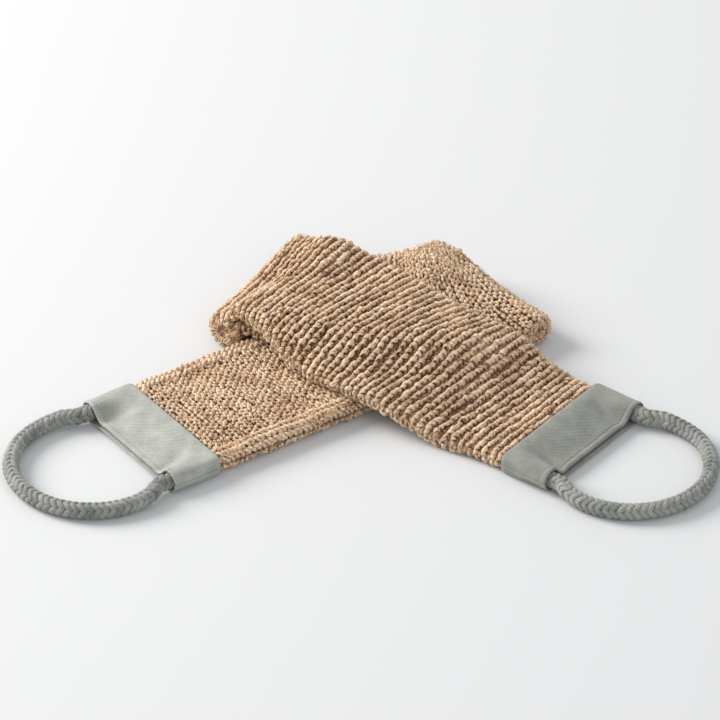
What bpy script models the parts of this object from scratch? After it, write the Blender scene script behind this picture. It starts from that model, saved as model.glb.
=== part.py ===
"""Loofah back scrubber: a two-layer knitted strap with cloth end caps and rope loop handles.

The strap lies folded and crossed. The left run lies flat, turns over at the right fold into
the middle run, and turns over again at the left fold into the top run, which crosses over
the other two. Metres, +Z up, the origin on the floor under the middle of the whole object.

Every strap piece is placed through strap coordinates: n runs across the strap, positive to
the back, and g through its thickness, positive to the side of the front panel.
"""
import math

import bmesh
import bpy
from mathutils import Vector

MM = 0.001

# Layout on the floor
CROSSING = Vector((7.1 * MM, 39.05 * MM, 0))   # where the two straight runs cross
LEFT_RUN_ANGLE = math.radians(35.0)      # heading of the left run, left of it to the fold
TOP_RUN_ANGLE = math.radians(-37.5)      # heading of the top run, fold to right handle
LEFT_SEAM_REACH = 151 * MM               # crossing to the left cap's seam
RIGHT_SEAM_REACH = 140 * MM
RIGHT_FOLD_REACH = 101 * MM              # crossing to the outermost line of each fold
LEFT_FOLD_REACH = 99 * MM
RIGHT_FOLD_SKEW = math.tan(math.radians(-8.0))
LEFT_FOLD_SKEW = math.tan(math.radians(5.0))

# Strap
HALF_WIDTH = 50 * MM
PANEL = 6.0 * MM                         # thickness of one knitted panel
GAP = 0.4 * MM                           # between touching pieces
LAYER_GAP = 1.6 * MM                     # between two layers of the strap
PAD = 2 * PANEL + GAP
PITCH = PAD + LAYER_GAP                  # one layer of strap to the next
ROLL_MID = PITCH / 2                     # radius of a fold, to the middle of the strap
ROLL_OUTER = ROLL_MID + PAD / 2
HINGE_PROUD = 0.35 * MM                  # fold axis outside the fold's outermost line
HALF_CUT = 0.25 * MM                     # half of the cut between two runs in a fold
SLOPE_GAP = 1.5 * MM                     # more room between two layers halfway up a slope
DRAPE_OVER_LEFT = 58 * MM                # how far the top run takes to come down
DRAPE_OVER_MIDDLE = 34 * MM
PUCKER = 2.5 * MM                        # rise of the middle run's shorter, back edge
FRONT_SPREAD = 0.26                      # widening of the top run's front half at the crossing
SPREAD_FULL_FROM_FOLD = 90 * MM          # where the widening is full, from each end
SPREAD_FULL_FROM_CAP = 110 * MM
HALF_SPREAD = 40 * MM                    # from the middle to where it is full across the strap
SWELL = 0.6                              # stretch of what is high at a fold's back corner
SWELL_REACH = 52 * MM
SWELL_LINE = 38 * MM
BACK_TUCK = 0.10                         # narrowing of the top run's back half
PRESS = 0.25                             # how far the stack is pressed flat at its right front
PRESS_ALONG = 82 * MM                    # the place, from the crossing along the left run
PRESS_ACROSS = -42 * MM
PRESS_REACH = 80 * MM
STATION_STEP = 8 * MM
UNDER_STEPS = 8                          # stations from the crossing to the right fold
FOLD_STEPS = 4                           # stations in each quarter of a fold
END_THIN = 0.66                          # thickness and width of the strap's end in its cap
END_NARROW = 0.945
END_TAPER = 6 * MM                       # from the cap's seam to the strap's full size
DRAPE_MARGIN = 1 * MM                    # how far a run stays level beyond the one below it
MIDDLE_MARGIN = 2 * MM
MIDDLE_BOW = 1.05                        # pull and length of the middle run's curve, both over
MIDDLE_STRETCH = 1.06                    # the straight distance between the folds
MIDDLE_STEPS = 40                        # lines that sample the middle run's outline
SKEW_PART = 0.4                          # part of the middle run that turns to each fold's line
PUCKER_FROM_START = 0.35                 # parts of the middle run in which the pucker rises
PUCKER_FROM_END = 0.45
PUCKER_LINE = -10 * MM                   # where it starts across the strap, and how far it rises
PUCKER_WIDTH = 50 * MM
SEAM_RADIUS = 1.0 * MM
SEAM_LINE = 49.6 * MM

# End caps, ropes and threads
CAP_LENGTH = 34 * MM
CAP_HEIGHT = 14.0 * MM
CAP_SEAM_HALF_WIDTH = 51.5 * MM          # at the strap, and at the rope exits
CAP_EXIT_HALF_WIDTH = 52.7 * MM
CLOTH = 1.1 * MM
UPPER_DIP = 7.5 * MM                     # of the cloth between the ropes, at the outer edge
LOWER_DIP = 2.0 * MM
SHOULDER = 46.5 * MM                     # where the cap's top starts to turn down its side
TUCK = 8 * MM                            # strap inside the cap
ROPE_RADIUS = 5.5 * MM
CORE_RADIUS = 2.7 * MM
SHEATH_BORE = 3.2 * MM
ROPE_LINE = 45 * MM                      # rope axis from the middle of the cap
LOOP_RADIUS = 51 * MM                    # of the round part of the loop's centre line
LOOP_CENTRE = 61 * MM                    # from the cap's seam
LOOP_ARC = math.radians(100)             # half of the round part
TAIL_START = 12 * MM
TAIL_PROUD = 0.4 * MM
HANDLE_AXIS = CAP_LENGTH + TAIL_PROUD + GAP + ROPE_RADIUS
THREAD_RADIUS = 0.45 * MM
CAP_STEPS = 5
KNIT_STITCH_LINE = 4 * MM                # from the cap's seam
HEM_STITCH_LINE = 29 * MM
HEM_STITCH_REACH = 30 * MM               # from the middle, between the ropes
TAIL_THIN = 4.3 * MM                     # radius of the rope where its whipping binds it
TAIL_THIN_LENGTH = 8 * MM                # from the tail's start
TAIL_FLARE_END = 10 * MM
WHIPPING_START = 1.5 * MM
WHIPPING_END = 6.5 * MM
LOOP_FALL = 0.6 * LOOP_RADIUS            # length in which the rope comes down to the floor
LOOP_STEPS = 11                          # in half of the round part
LEAD_STEPS = 3                           # from the cap to the round part
ROPE_SIDES = 8
CORE_SIDES = 6
TAIL_SIDES = 12
THREAD_SIDES = 5

UP = Vector((0, 0, 1))
LEFT_DIR = Vector((math.cos(LEFT_RUN_ANGLE), math.sin(LEFT_RUN_ANGLE), 0))
LEFT_SIDE = UP.cross(LEFT_DIR)
TOP_DIR = Vector((math.cos(TOP_RUN_ANGLE), math.sin(TOP_RUN_ANGLE), 0))
TOP_SIDE = UP.cross(TOP_DIR)

KNIT_SAND = ((0.56, 0.40, 0.25), 0.95)
THREAD_SAND = ((0.50, 0.34, 0.21), 0.9)
SAGE_CLOTH = ((0.34, 0.38, 0.34), 0.85)
SAGE_ROPE = ((0.38, 0.42, 0.38), 0.9)
SAGE_THREAD = ((0.30, 0.34, 0.30), 0.8)
ROPE_CORE = ((0.70, 0.69, 0.64), 0.95)


def smooth(t):
    """Smoothstep from 0 at t = 0 to 1 at t = 1."""
    t = min(1.0, max(0.0, t))
    return t * t * (3 - 2 * t)


def mix(a, b, t):
    return a + (b - a) * t


def hermite(start, leave, end, arrive, u):
    """A point of the cubic curve between two points with a direction at each."""
    return (start * (2 * u**3 - 3 * u**2 + 1) + leave * (u**3 - 2 * u**2 + u)
            + end * (3 * u**2 - 2 * u**3) + arrive * (u**3 - u**2))


class Fold:
    """A half turn of the strap round a level line that starts where the roll leaves the floor."""

    def __init__(self, tangent, line, heading):
        self.tangent = tangent
        self.line = line
        outward = UP.cross(line).normalized()
        self.outward = outward if outward.dot(heading) > 0 else -outward
        self.centre_z = ROLL_OUTER
        self.axis_point = (tangent + self.outward * (ROLL_OUTER + HINGE_PROUD)
                           + UP * self.centre_z)

    def point(self, n, radius, turn):
        """turn is 0 under the roll, a quarter turn at its outermost line and a half on top."""
        return (self.tangent + self.line * n + self.outward * (radius * math.sin(turn))
                + UP * (self.centre_z - radius * math.cos(turn)))


RIGHT_FOLD = Fold(CROSSING + LEFT_DIR * (RIGHT_FOLD_REACH - ROLL_OUTER),
                  LEFT_SIDE + LEFT_DIR * RIGHT_FOLD_SKEW, LEFT_DIR)
LEFT_FOLD = Fold(CROSSING - TOP_DIR * (LEFT_FOLD_REACH - ROLL_OUTER),
                 TOP_SIDE - TOP_DIR * LEFT_FOLD_SKEW, -TOP_DIR)


def middle_centre(u):
    """Centre line of the middle run, on the floor plane, and its direction; u from 0 to 1."""
    start, end = RIGHT_FOLD.tangent, LEFT_FOLD.tangent
    reach = (end - start).length * MIDDLE_BOW
    leave = mirrored(LEFT_DIR, RIGHT_FOLD) * reach
    arrive = -mirrored(-TOP_DIR, LEFT_FOLD) * reach
    point = hermite(start, leave, end, arrive, u)
    heading = (start * (6 * u**2 - 6 * u) + leave * (3 * u**2 - 4 * u + 1)
               + end * (6 * u - 6 * u**2) + arrive * (3 * u**2 - 2 * u)).normalized()
    return point, heading


def mirrored(direction, fold):
    """The direction in which a strap leaves a fold."""
    return direction - fold.outward * (2 * direction.dot(fold.outward))


def middle_side(u):
    """Across the middle run, skewed at both ends to lie along its folds."""
    side = -UP.cross(middle_centre(u)[1])
    first, last = -UP.cross(middle_centre(0)[1]), -UP.cross(middle_centre(1)[1])
    near_start, near_end = 1 - smooth(u / SKEW_PART), 1 - smooth((1 - u) / SKEW_PART)
    return side + (RIGHT_FOLD.line - first) * near_start + (LEFT_FOLD.line - last) * near_end


MIDDLE_LINES = [(i / MIDDLE_STEPS, middle_centre(i / MIDDLE_STEPS)[0], middle_side(i / MIDDLE_STEPS))
                for i in range(MIDDLE_STEPS + 1)]


def middle_place(point):
    """Distance from the middle run's outline, and the nearest u and n on it."""
    best = None
    for u, centre, side in MIDDLE_LINES:
        offset = Vector((point.x, point.y, 0)) - centre
        n = max(-HALF_WIDTH, min(HALF_WIDTH, offset.dot(side) / side.length_squared))
        distance = (offset - side * n).length
        if best is None or distance < best[0]:
            best = (distance, u, n)
    return best


def over_left_run(point):
    """1 above the left run, down to 0 at the left fold behind it or at the floor before it."""
    margin = HALF_WIDTH + DRAPE_MARGIN
    across = (point - CROSSING).dot(LEFT_SIDE)
    if across < -margin:
        return 1 - smooth((-across - margin) / DRAPE_OVER_LEFT)
    if across > margin:
        to_fold = max(0.0, (LEFT_FOLD.tangent - point).dot(LEFT_FOLD.outward))
        return 1 - smooth((across - margin) / (across - margin + to_fold))
    return 1.0


def pucker(u, n):
    """Rise of the middle run's back edge, which the turn in its plane has left too long."""
    along = smooth(u / PUCKER_FROM_START) * smooth((1 - u) / PUCKER_FROM_END)
    return PUCKER * along * smooth((n - PUCKER_LINE) / PUCKER_WIDTH)


def middle_height(u, n):
    point = middle_centre(u)[0] + middle_side(u) * n
    return PITCH * over_left_run(point) + pucker(u, n)


def top_height(point):
    distance, u, n = middle_place(point)
    over_middle = 1 - smooth((distance - MIDDLE_MARGIN) / DRAPE_OVER_MIDDLE)
    over_left = over_left_run(point)
    slope_room = SLOPE_GAP * 4 * over_left * (1 - over_left)
    return PITCH * (over_left + over_middle) + pucker(u, n) * over_middle + slope_room


def swollen(point):
    """Plumps up the back corner of each fold, above the level of the fold's cut."""
    for fold in (LEFT_FOLD, RIGHT_FOLD):
        corner = fold.tangent + fold.line * SWELL_LINE
        share = SWELL * (1 - smooth((point - corner).to_2d().length / SWELL_REACH))
        point = point + UP * (share * max(0.0, point.z - ROLL_OUTER))
    return point


def pressed(point):
    """Flattens all layers alike where the stack carries the top run's back edge."""
    spot = CROSSING + LEFT_DIR * PRESS_ALONG + LEFT_SIDE * PRESS_ACROSS
    share = PRESS * (1 - smooth((point - spot).to_2d().length / PRESS_REACH))
    return Vector((point.x, point.y, point.z * (1 - share)))


# ---- strap stations: each is a function of (n, g) that gives a point ----

def left_run_stations():
    """From inside the left cap to the middle of the right fold."""
    def flat(along, squeeze):
        def at(n, g):
            thin, narrow = mix(1, END_THIN, squeeze), mix(1, END_NARROW, squeeze)
            lift = mix(PAD / 2, CAP_HEIGHT / 2, squeeze)
            point = CROSSING + LEFT_DIR * along + LEFT_SIDE * (n * narrow)
            return pressed(point + UP * (lift + g * thin))
        return at

    def skewed(part):
        def at(n, g):
            start = CROSSING + LEFT_SIDE * n
            end = RIGHT_FOLD.tangent + RIGHT_FOLD.line * n
            return pressed(start.lerp(end, part) + UP * (PAD / 2 + g))
        return at

    seam = -LEFT_SEAM_REACH
    stations = [flat(seam - TUCK, 1), flat(seam, 1), flat(seam + END_TAPER, 0), flat(seam / 2, 0)]
    stations += [skewed(i / UNDER_STEPS) for i in range(UNDER_STEPS + 1)]
    return stations + roll_stations(RIGHT_FOLD, 0, -1, True)


def roll_stations(fold, first_quarter, front_sign, lower):
    """Stations of one quarter of a fold; front_sign is -1 where the front panel is inside."""
    def turned(turn, shift):
        def at(n, g):
            point = fold.point(n, ROLL_MID + front_sign * g, turn)
            return pressed(swollen(point + UP * shift))
        return at

    stations = []
    for i in range(FOLD_STEPS + 1):
        turn = (first_quarter + i / FOLD_STEPS) * math.pi / 2
        at_cut = i == (FOLD_STEPS if lower else 0)
        shift = 0.0 if not at_cut else (-HALF_CUT if lower else HALF_CUT)
        stations.append(turned(turn, shift))
    return stations[1:] if lower else stations[:-1]


def middle_run_stations():
    def crossing(u):
        def at(n, g):
            point = middle_centre(u)[0] + middle_side(u) * n
            return pressed(swollen(point + UP * (PAD / 2 + middle_height(u, n) - g)))
        return at

    length = (LEFT_FOLD.tangent - RIGHT_FOLD.tangent).length * MIDDLE_STRETCH
    count = round(length / STATION_STEP)
    stations = roll_stations(RIGHT_FOLD, 1, -1, False)
    stations += [crossing(i / count) for i in range(count + 1)]
    return stations + roll_stations(LEFT_FOLD, 0, 1, True)


def top_run_stations():
    length = RIGHT_SEAM_REACH + (LEFT_FOLD_REACH - ROLL_OUTER)

    def draped(along, squeeze):
        skew = 1 - smooth(along / (length / 3))
        side = TOP_SIDE.lerp(LEFT_FOLD.line, skew)
        spread = (smooth(along / SPREAD_FULL_FROM_FOLD)
                  * smooth((length - along) / SPREAD_FULL_FROM_CAP))

        def at(n, g):
            thin, narrow = mix(1, END_THIN, squeeze), mix(1, END_NARROW, squeeze)
            widen = (FRONT_SPREAD * smooth(-n / HALF_SPREAD)
                     - BACK_TUCK * smooth(n / HALF_SPREAD))
            wide = n * narrow * (1 + spread * widen)
            point = LEFT_FOLD.tangent + TOP_DIR * along + side * wide
            lift = mix(PAD / 2, CAP_HEIGHT / 2, squeeze)
            lifted = point + UP * (lift + top_height(point) + g * thin)
            return pressed(swollen(lifted))
        return at

    count = round(length / STATION_STEP)
    stations = roll_stations(LEFT_FOLD, 1, 1, False)
    stations += [draped((length - END_TAPER) * i / count, 0) for i in range(count + 1)]
    return stations + [draped(length, 1), draped(length + TUCK, 1)]


# ---- mesh helpers ----

def rings_mesh(name, rings):
    """A closed solid through rings of equal point counts, with a flat face at each end."""
    mesh = bpy.data.meshes.new(name)
    bm = bmesh.new()
    loops = [[bm.verts.new(p) for p in ring] for ring in rings]
    for a, b in zip(loops, loops[1:]):
        for i in range(len(a)):
            j = (i + 1) % len(a)
            bm.faces.new((a[i], a[j], b[j], b[i]))
    bm.faces.new(loops[0])
    bm.faces.new(loops[-1])
    finish_mesh(bm, mesh)
    return mesh


def slab_mesh(name, outer_rows, inner_rows):
    """A closed sheet of any section: outer and inner rows of points, one pair per station."""
    mesh = bpy.data.meshes.new(name)
    bm = bmesh.new()
    outer = [[bm.verts.new(p) for p in row] for row in outer_rows]
    inner = [[bm.verts.new(p) for p in row] for row in inner_rows]
    last = len(outer) - 1
    for i in range(last):
        for k in range(len(outer[0]) - 1):
            bm.faces.new((outer[i][k], outer[i][k + 1], outer[i + 1][k + 1], outer[i + 1][k]))
            bm.faces.new((inner[i][k], inner[i + 1][k], inner[i + 1][k + 1], inner[i][k + 1]))
        for k in (0, -1):
            bm.faces.new((outer[i][k], outer[i + 1][k], inner[i + 1][k], inner[i][k]))
    for i in (0, last):
        for k in range(len(outer[0]) - 1):
            bm.faces.new((outer[i][k], inner[i][k], inner[i][k + 1], outer[i][k + 1]))
    finish_mesh(bm, mesh)
    return mesh


def sleeve_mesh(name, outer_rings, inner_rings):
    """A tube that is open at both ends."""
    mesh = bpy.data.meshes.new(name)
    bm = bmesh.new()
    outer = [[bm.verts.new(p) for p in ring] for ring in outer_rings]
    inner = [[bm.verts.new(p) for p in ring] for ring in inner_rings]
    count = len(outer[0])
    for i in range(count):
        j = (i + 1) % count
        for wall in (outer, inner):
            for a, b in zip(wall, wall[1:]):
                bm.faces.new((a[i], a[j], b[j], b[i]))
        for end in (0, -1):
            bm.faces.new((outer[end][i], outer[end][j], inner[end][j], inner[end][i]))
    finish_mesh(bm, mesh)
    return mesh


def finish_mesh(bm, mesh):
    bmesh.ops.recalc_face_normals(bm, faces=bm.faces)
    bm.to_mesh(mesh)
    bm.free()
    mesh.shade_smooth()
    mesh.set_sharp_from_angle(angle=math.radians(40))


def ring(centre, across, upward, radius, sides):
    """A circle of points round a centre, in the plane of two unit vectors."""
    angles = [2 * math.pi * (k + 0.5) / sides for k in range(sides)]
    return [centre + across * (radius * math.cos(a)) + upward * (radius * math.sin(a))
            for a in angles]


def tube_rings(path, radius, sides):
    """Rings along a path of points; radius is a number, or a list with one for each point."""
    radii = radius if isinstance(radius, list) else [radius] * len(path)
    rings = []
    for i, point in enumerate(path):
        ahead = path[min(i + 1, len(path) - 1)] - path[max(i - 1, 0)]
        across = ahead.cross(UP).normalized()
        rings.append(ring(point, across, across.cross(ahead).normalized(), radii[i], sides))
    return rings


# ---- objects ----

def material(name, look):
    colour, roughness = look
    mat = bpy.data.materials.new(name)
    mat.use_nodes = True
    shader = mat.node_tree.nodes["Principled BSDF"]
    shader.inputs["Base Color"].default_value = (*colour, 1)
    shader.inputs["Roughness"].default_value = roughness
    shader.inputs["Metallic"].default_value = 0.0
    return mat


def add(name, mesh, look, body):
    """One named object, whose origin is on its body's joint axis."""
    origin = BODY_ORIGINS[body]
    for vertex in mesh.vertices:
        vertex.co -= origin
    mesh.materials.append(material(name, look))
    obj = bpy.data.objects.new(name, mesh)
    obj.parent = bpy.data.objects[body + "_axis"]
    bpy.context.scene.collection.objects.link(obj)


def handle_axis(cap_origin, outward):
    return cap_origin + outward * HANDLE_AXIS + UP * (CAP_HEIGHT / 2)


LEFT_CAP_ORIGIN = CROSSING - LEFT_DIR * LEFT_SEAM_REACH
RIGHT_CAP_ORIGIN = CROSSING + TOP_DIR * RIGHT_SEAM_REACH
BODY_ORIGINS = {
    "left_run": Vector((0, 0, 0)),
    "middle_run": RIGHT_FOLD.axis_point,
    "top_run": LEFT_FOLD.axis_point,
    "left_handle": handle_axis(LEFT_CAP_ORIGIN, -LEFT_DIR),
    "right_handle": handle_axis(RIGHT_CAP_ORIGIN, TOP_DIR),
}
BODY_PARENTS = {"left_run": None, "middle_run": "left_run", "top_run": "middle_run",
                "left_handle": "left_run", "right_handle": "top_run"}


def add_axes():
    """One empty for each body, on its joint's axis and under its parent body's empty."""
    for body, parent in BODY_PARENTS.items():
        empty = bpy.data.objects.new(body + "_axis", None)
        empty.location = BODY_ORIGINS[body]
        if parent:
            empty.parent = bpy.data.objects[parent + "_axis"]
            empty.location -= BODY_ORIGINS[parent]
        bpy.context.scene.collection.objects.link(empty)


# Section of a panel: n across the strap, then the outer and inner g, from the middle outward
EDGE_SECTION = [(46.0, 6.2, 0.2), (48.8, 5.5, 1.3), (50.0, 3.7, 2.6)]


def panel_section():
    """Columns (n, outer g, inner g) from the front edge to the back edge of the strap."""
    edge = [(n * MM, outer * MM, inner * MM) for n, outer, inner in EDGE_SECTION]
    flat = [(n * 15 * MM, PANEL + GAP / 2, GAP / 2) for n in range(-2, 3)]
    return [(-n, outer, inner) for n, outer, inner in reversed(edge)] + flat + edge


def make_strap_run(body, stations):
    """Both knitted panels of one run and the thread along each of its edges."""
    section = panel_section()
    for side, sign in (("front", 1), ("back", -1)):
        outer = [[at(n, sign * out) for n, out, _ in section] for at in stations]
        inner = [[at(n, sign * inn) for n, _, inn in section] for at in stations]
        name = f"{side}_panel_{body}"
        add(name, slab_mesh(name, outer, inner), KNIT_SAND, body)
    for edge, sign in (("near", -1), ("far", 1)):
        angles = [2 * math.pi * k / THREAD_SIDES for k in range(THREAD_SIDES)]
        rings = [[at(sign * (SEAM_LINE + SEAM_RADIUS * math.cos(a)), SEAM_RADIUS * math.sin(a))
                  for a in angles] for at in stations]
        name = f"{edge}_edge_seam_{body}"
        add(name, rings_mesh(name, rings), THREAD_SAND, body)


def cap_section(along, dip):
    """Columns (n, z) of the upper cloth's outer face, mirrored from the middle to each side."""
    sag = dip * smooth(along / CAP_LENGTH)
    edge = mix(CAP_SEAM_HALF_WIDTH, CAP_EXIT_HALF_WIDTH, along / CAP_LENGTH)
    top = CAP_HEIGHT
    half = [(0, top - sag), (15 * MM, top - sag), (28 * MM, top - sag), (36 * MM, top),
            (SHOULDER, top), (edge - 2.3 * MM, top - 1.3 * MM), (edge, top - 3.8 * MM),
            (edge, CAP_HEIGHT / 2 + GAP / 2)]
    return [(-n, z) for n, z in reversed(half[1:])] + half


def cap_inner(n, z, edge):
    """The inner face of the cloth, from a point of its outer face."""
    side = max(0.0, abs(n) - SHOULDER) / (edge - SHOULDER)
    at_parting = side == 1 and z < CAP_HEIGHT * 0.6
    return n - math.copysign(CLOTH * side, n), z - (0.0 if at_parting else CLOTH)


def make_cap(prefix, body, origin, outward, side):
    """The two cloth halves of a cap, its stitch rows, and the rope tails sewn into it."""
    def place(along, n, z):
        return origin + outward * along + side * n + UP * z

    rows = [CAP_LENGTH * i / CAP_STEPS for i in range(CAP_STEPS + 1)]
    for half, dip in (("upper", UPPER_DIP), ("lower", LOWER_DIP)):
        outer, inner = [], []
        for along in rows:
            section = cap_section(along, dip)
            flip = (lambda z: z) if half == "upper" else (lambda z: CAP_HEIGHT - z)
            outer.append([place(along, n, flip(z)) for n, z in section])
            lining = [cap_inner(n, z, section[-1][0]) for n, z in section]
            inner.append([place(along, n, flip(z)) for n, z in lining])
        name = f"{prefix}_cap_{half}"
        add(name, slab_mesh(name, outer, inner), SAGE_CLOTH, body)

    for row, along, reach in (("knit", KNIT_STITCH_LINE, SHOULDER),
                             ("hem", HEM_STITCH_LINE, HEM_STITCH_REACH)):
        drop = CLOTH + GAP + THREAD_RADIUS
        path = [place(along, n, z - drop) for n, z in cap_section(along, UPPER_DIP)
                if abs(n) < reach]
        name = f"{prefix}_{row}_stitch"
        add(name, rings_mesh(name, tube_rings(path, THREAD_RADIUS, THREAD_SIDES)), SAGE_THREAD, body)

    for edge, sign in (("near", -1), ("far", 1)):
        def tail_rings(stations, edge_sign=sign):
            return [ring(place(along, edge_sign * ROPE_LINE, CAP_HEIGHT / 2), side, UP, radius,
                         TAIL_SIDES)
                    for along, radius in stations]
        tail = [(TAIL_START, TAIL_THIN), (TAIL_START + TAIL_THIN_LENGTH, TAIL_THIN),
                (TAIL_START + TAIL_FLARE_END, ROPE_RADIUS),
                (CAP_LENGTH + TAIL_PROUD, ROPE_RADIUS)]
        name = f"{prefix}_rope_tail_{edge}"
        add(name, rings_mesh(name, tail_rings(tail)), SAGE_ROPE, body)
        span = (TAIL_START + WHIPPING_START, TAIL_START + WHIPPING_END)
        name = f"{prefix}_rope_whipping_{edge}"
        outer = tail_rings([(along, ROPE_RADIUS) for along in span])
        inner = tail_rings([(along, TAIL_THIN + GAP) for along in span])
        add(name, sleeve_mesh(name, outer, inner), SAGE_THREAD, body)


def loop_path(origin, outward, side):
    """Centre line of a rope loop: out of both ends of the cap into one round arc on the floor."""
    start = Vector((HANDLE_AXIS, ROPE_LINE))
    join = loop_arc_point(LOOP_ARC)
    lead = (join - start).length
    leave = Vector((lead, 0))
    arrive = Vector((math.sin(LOOP_ARC), -math.cos(LOOP_ARC))) * lead
    half = [hermite(start, leave, join, arrive, i / LEAD_STEPS) for i in range(LEAD_STEPS)]
    half += [loop_arc_point(LOOP_ARC * (1 - i / LOOP_STEPS)) for i in range(LOOP_STEPS)]
    points = half + [loop_arc_point(0)] + [Vector((p.x, -p.y)) for p in reversed(half)]
    path = []
    for along, n in points:
        fall = smooth((along - HANDLE_AXIS) / LOOP_FALL)
        path.append(origin + outward * along + side * n
                    + UP * mix(CAP_HEIGHT / 2, ROPE_RADIUS, fall))
    return path


def loop_arc_point(angle):
    return Vector((LOOP_CENTRE + LOOP_RADIUS * math.cos(angle), LOOP_RADIUS * math.sin(angle)))


def make_loop(prefix, body, origin, outward, side):
    """A rope loop: a braided sheath round a core, with rounded ends on its swing axis."""
    path = loop_path(origin, outward, side)
    inward = ROPE_RADIUS * math.sin(math.pi / 4)
    tucked = [path[0] - outward * inward] + path + [path[-1] - outward * inward]
    radii = [ROPE_RADIUS * math.cos(math.pi / 4)] + [ROPE_RADIUS] * len(path)
    radii.append(radii[0])
    name = f"{prefix}_rope_sheath"
    add(name, sleeve_mesh(name, tube_rings(tucked, radii, ROPE_SIDES),
                          tube_rings(tucked, SHEATH_BORE, ROPE_SIDES)), SAGE_ROPE, body)
    name = f"{prefix}_rope_core"
    add(name, rings_mesh(name, tube_rings(tucked, CORE_RADIUS, CORE_SIDES)), ROPE_CORE, body)


def main():
    for obj in list(bpy.data.objects):
        bpy.data.objects.remove(obj, do_unlink=True)
    add_axes()
    make_strap_run("left_run", left_run_stations())
    make_strap_run("middle_run", middle_run_stations())
    make_strap_run("top_run", top_run_stations())
    ends = (("left", "left_run", LEFT_CAP_ORIGIN, -LEFT_DIR, LEFT_SIDE),
            ("right", "top_run", RIGHT_CAP_ORIGIN, TOP_DIR, TOP_SIDE))
    for prefix, body, origin, outward, side in ends:
        make_cap(prefix, body, origin, outward, side)
        make_loop(prefix, prefix + "_handle", origin, outward, side)


main()
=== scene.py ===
"""Looks of the loofah back scrubber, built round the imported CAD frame.

The strap is knitted here yarn by yarn: every row of the knit is a tube that is bent by the same
strap mapping as the CAD. Metres, +Z up. Along each run, v is the distance from the run's start,
n runs across the strap, g through its thickness, and h stands proud of the strap's surface.
"""
import math

import bpy
import numpy as np
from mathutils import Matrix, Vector


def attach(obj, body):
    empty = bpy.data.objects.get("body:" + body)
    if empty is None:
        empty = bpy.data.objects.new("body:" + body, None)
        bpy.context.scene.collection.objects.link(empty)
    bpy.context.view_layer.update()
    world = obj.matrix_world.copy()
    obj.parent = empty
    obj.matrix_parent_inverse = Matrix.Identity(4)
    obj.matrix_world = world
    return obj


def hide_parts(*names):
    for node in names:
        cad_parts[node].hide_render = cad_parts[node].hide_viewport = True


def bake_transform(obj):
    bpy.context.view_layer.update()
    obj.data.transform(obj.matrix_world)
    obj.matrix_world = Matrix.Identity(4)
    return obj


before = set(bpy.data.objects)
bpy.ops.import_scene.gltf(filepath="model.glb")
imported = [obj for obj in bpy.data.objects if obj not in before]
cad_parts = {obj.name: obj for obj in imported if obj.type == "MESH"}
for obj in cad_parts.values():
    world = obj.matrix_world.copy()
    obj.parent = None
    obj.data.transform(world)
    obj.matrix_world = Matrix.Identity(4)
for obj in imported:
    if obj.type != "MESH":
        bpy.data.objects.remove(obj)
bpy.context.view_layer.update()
MM = 0.001

# ---- the layout, as in the CAD ----
CROSSING = np.array((7.1 * MM, 39.05 * MM, 0))
LEFT_RUN_ANGLE = math.radians(35.0)
TOP_RUN_ANGLE = math.radians(-37.5)
LEFT_SEAM_REACH = 151 * MM
RIGHT_SEAM_REACH = 140 * MM
RIGHT_FOLD_REACH = 101 * MM
LEFT_FOLD_REACH = 99 * MM
RIGHT_FOLD_SKEW = math.tan(math.radians(-8.0))
LEFT_FOLD_SKEW = math.tan(math.radians(5.0))
HALF_WIDTH = 50 * MM
PAD = 12.4 * MM
PITCH = 14.0 * MM                        # one layer of strap to the next
ROLL_MID = PITCH / 2
ROLL_OUTER = ROLL_MID + PAD / 2
QUARTER = ROLL_OUTER * math.pi / 2       # outer length of a quarter of a fold
SLOPE_GAP = 1.5 * MM                     # more room between two layers halfway up a slope
DRAPE_OVER_LEFT = 58 * MM
DRAPE_OVER_MIDDLE = 34 * MM
PUCKER = 2.5 * MM
FRONT_SPREAD = 0.26                      # widening of the top run's front half at the crossing
SPREAD_FULL_FROM_FOLD = 90 * MM          # where the widening is full, from each end
SPREAD_FULL_FROM_CAP = 110 * MM
HALF_SPREAD = 40 * MM                    # from the middle to where it is full across the strap
SWELL = 0.6                              # stretch of what is high at a fold's back corner
SWELL_REACH = 52 * MM
SWELL_LINE = 38 * MM
BACK_TUCK = 0.10                         # narrowing of the top run's back half
PRESS = 0.25                             # how far the stack is pressed flat at its right front
PRESS_ALONG = 82 * MM                    # the place, from the crossing along the left run
PRESS_ACROSS = -42 * MM
PRESS_REACH = 80 * MM
DRAPE_MARGIN = 1 * MM                    # how far a run stays level beyond the one below it
MIDDLE_MARGIN = 2 * MM
MIDDLE_BOW = 1.05                        # pull of the middle run's curve at its folds
SKEW_PART = 0.4                          # part of the middle run that turns to each fold's line
PUCKER_FROM_START = 0.35                 # parts of the middle run in which the pucker rises
PUCKER_FROM_END = 0.45
PUCKER_LINE = -10 * MM                   # where it starts across the strap, and how far it rises
PUCKER_WIDTH = 50 * MM
END_TAPER = 6 * MM                       # from the cap's seam to the strap's full size
END_THIN = 0.72                          # thickness and width of the strap at the seam
END_NARROW = 0.955
TUCK = 8 * MM

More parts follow.
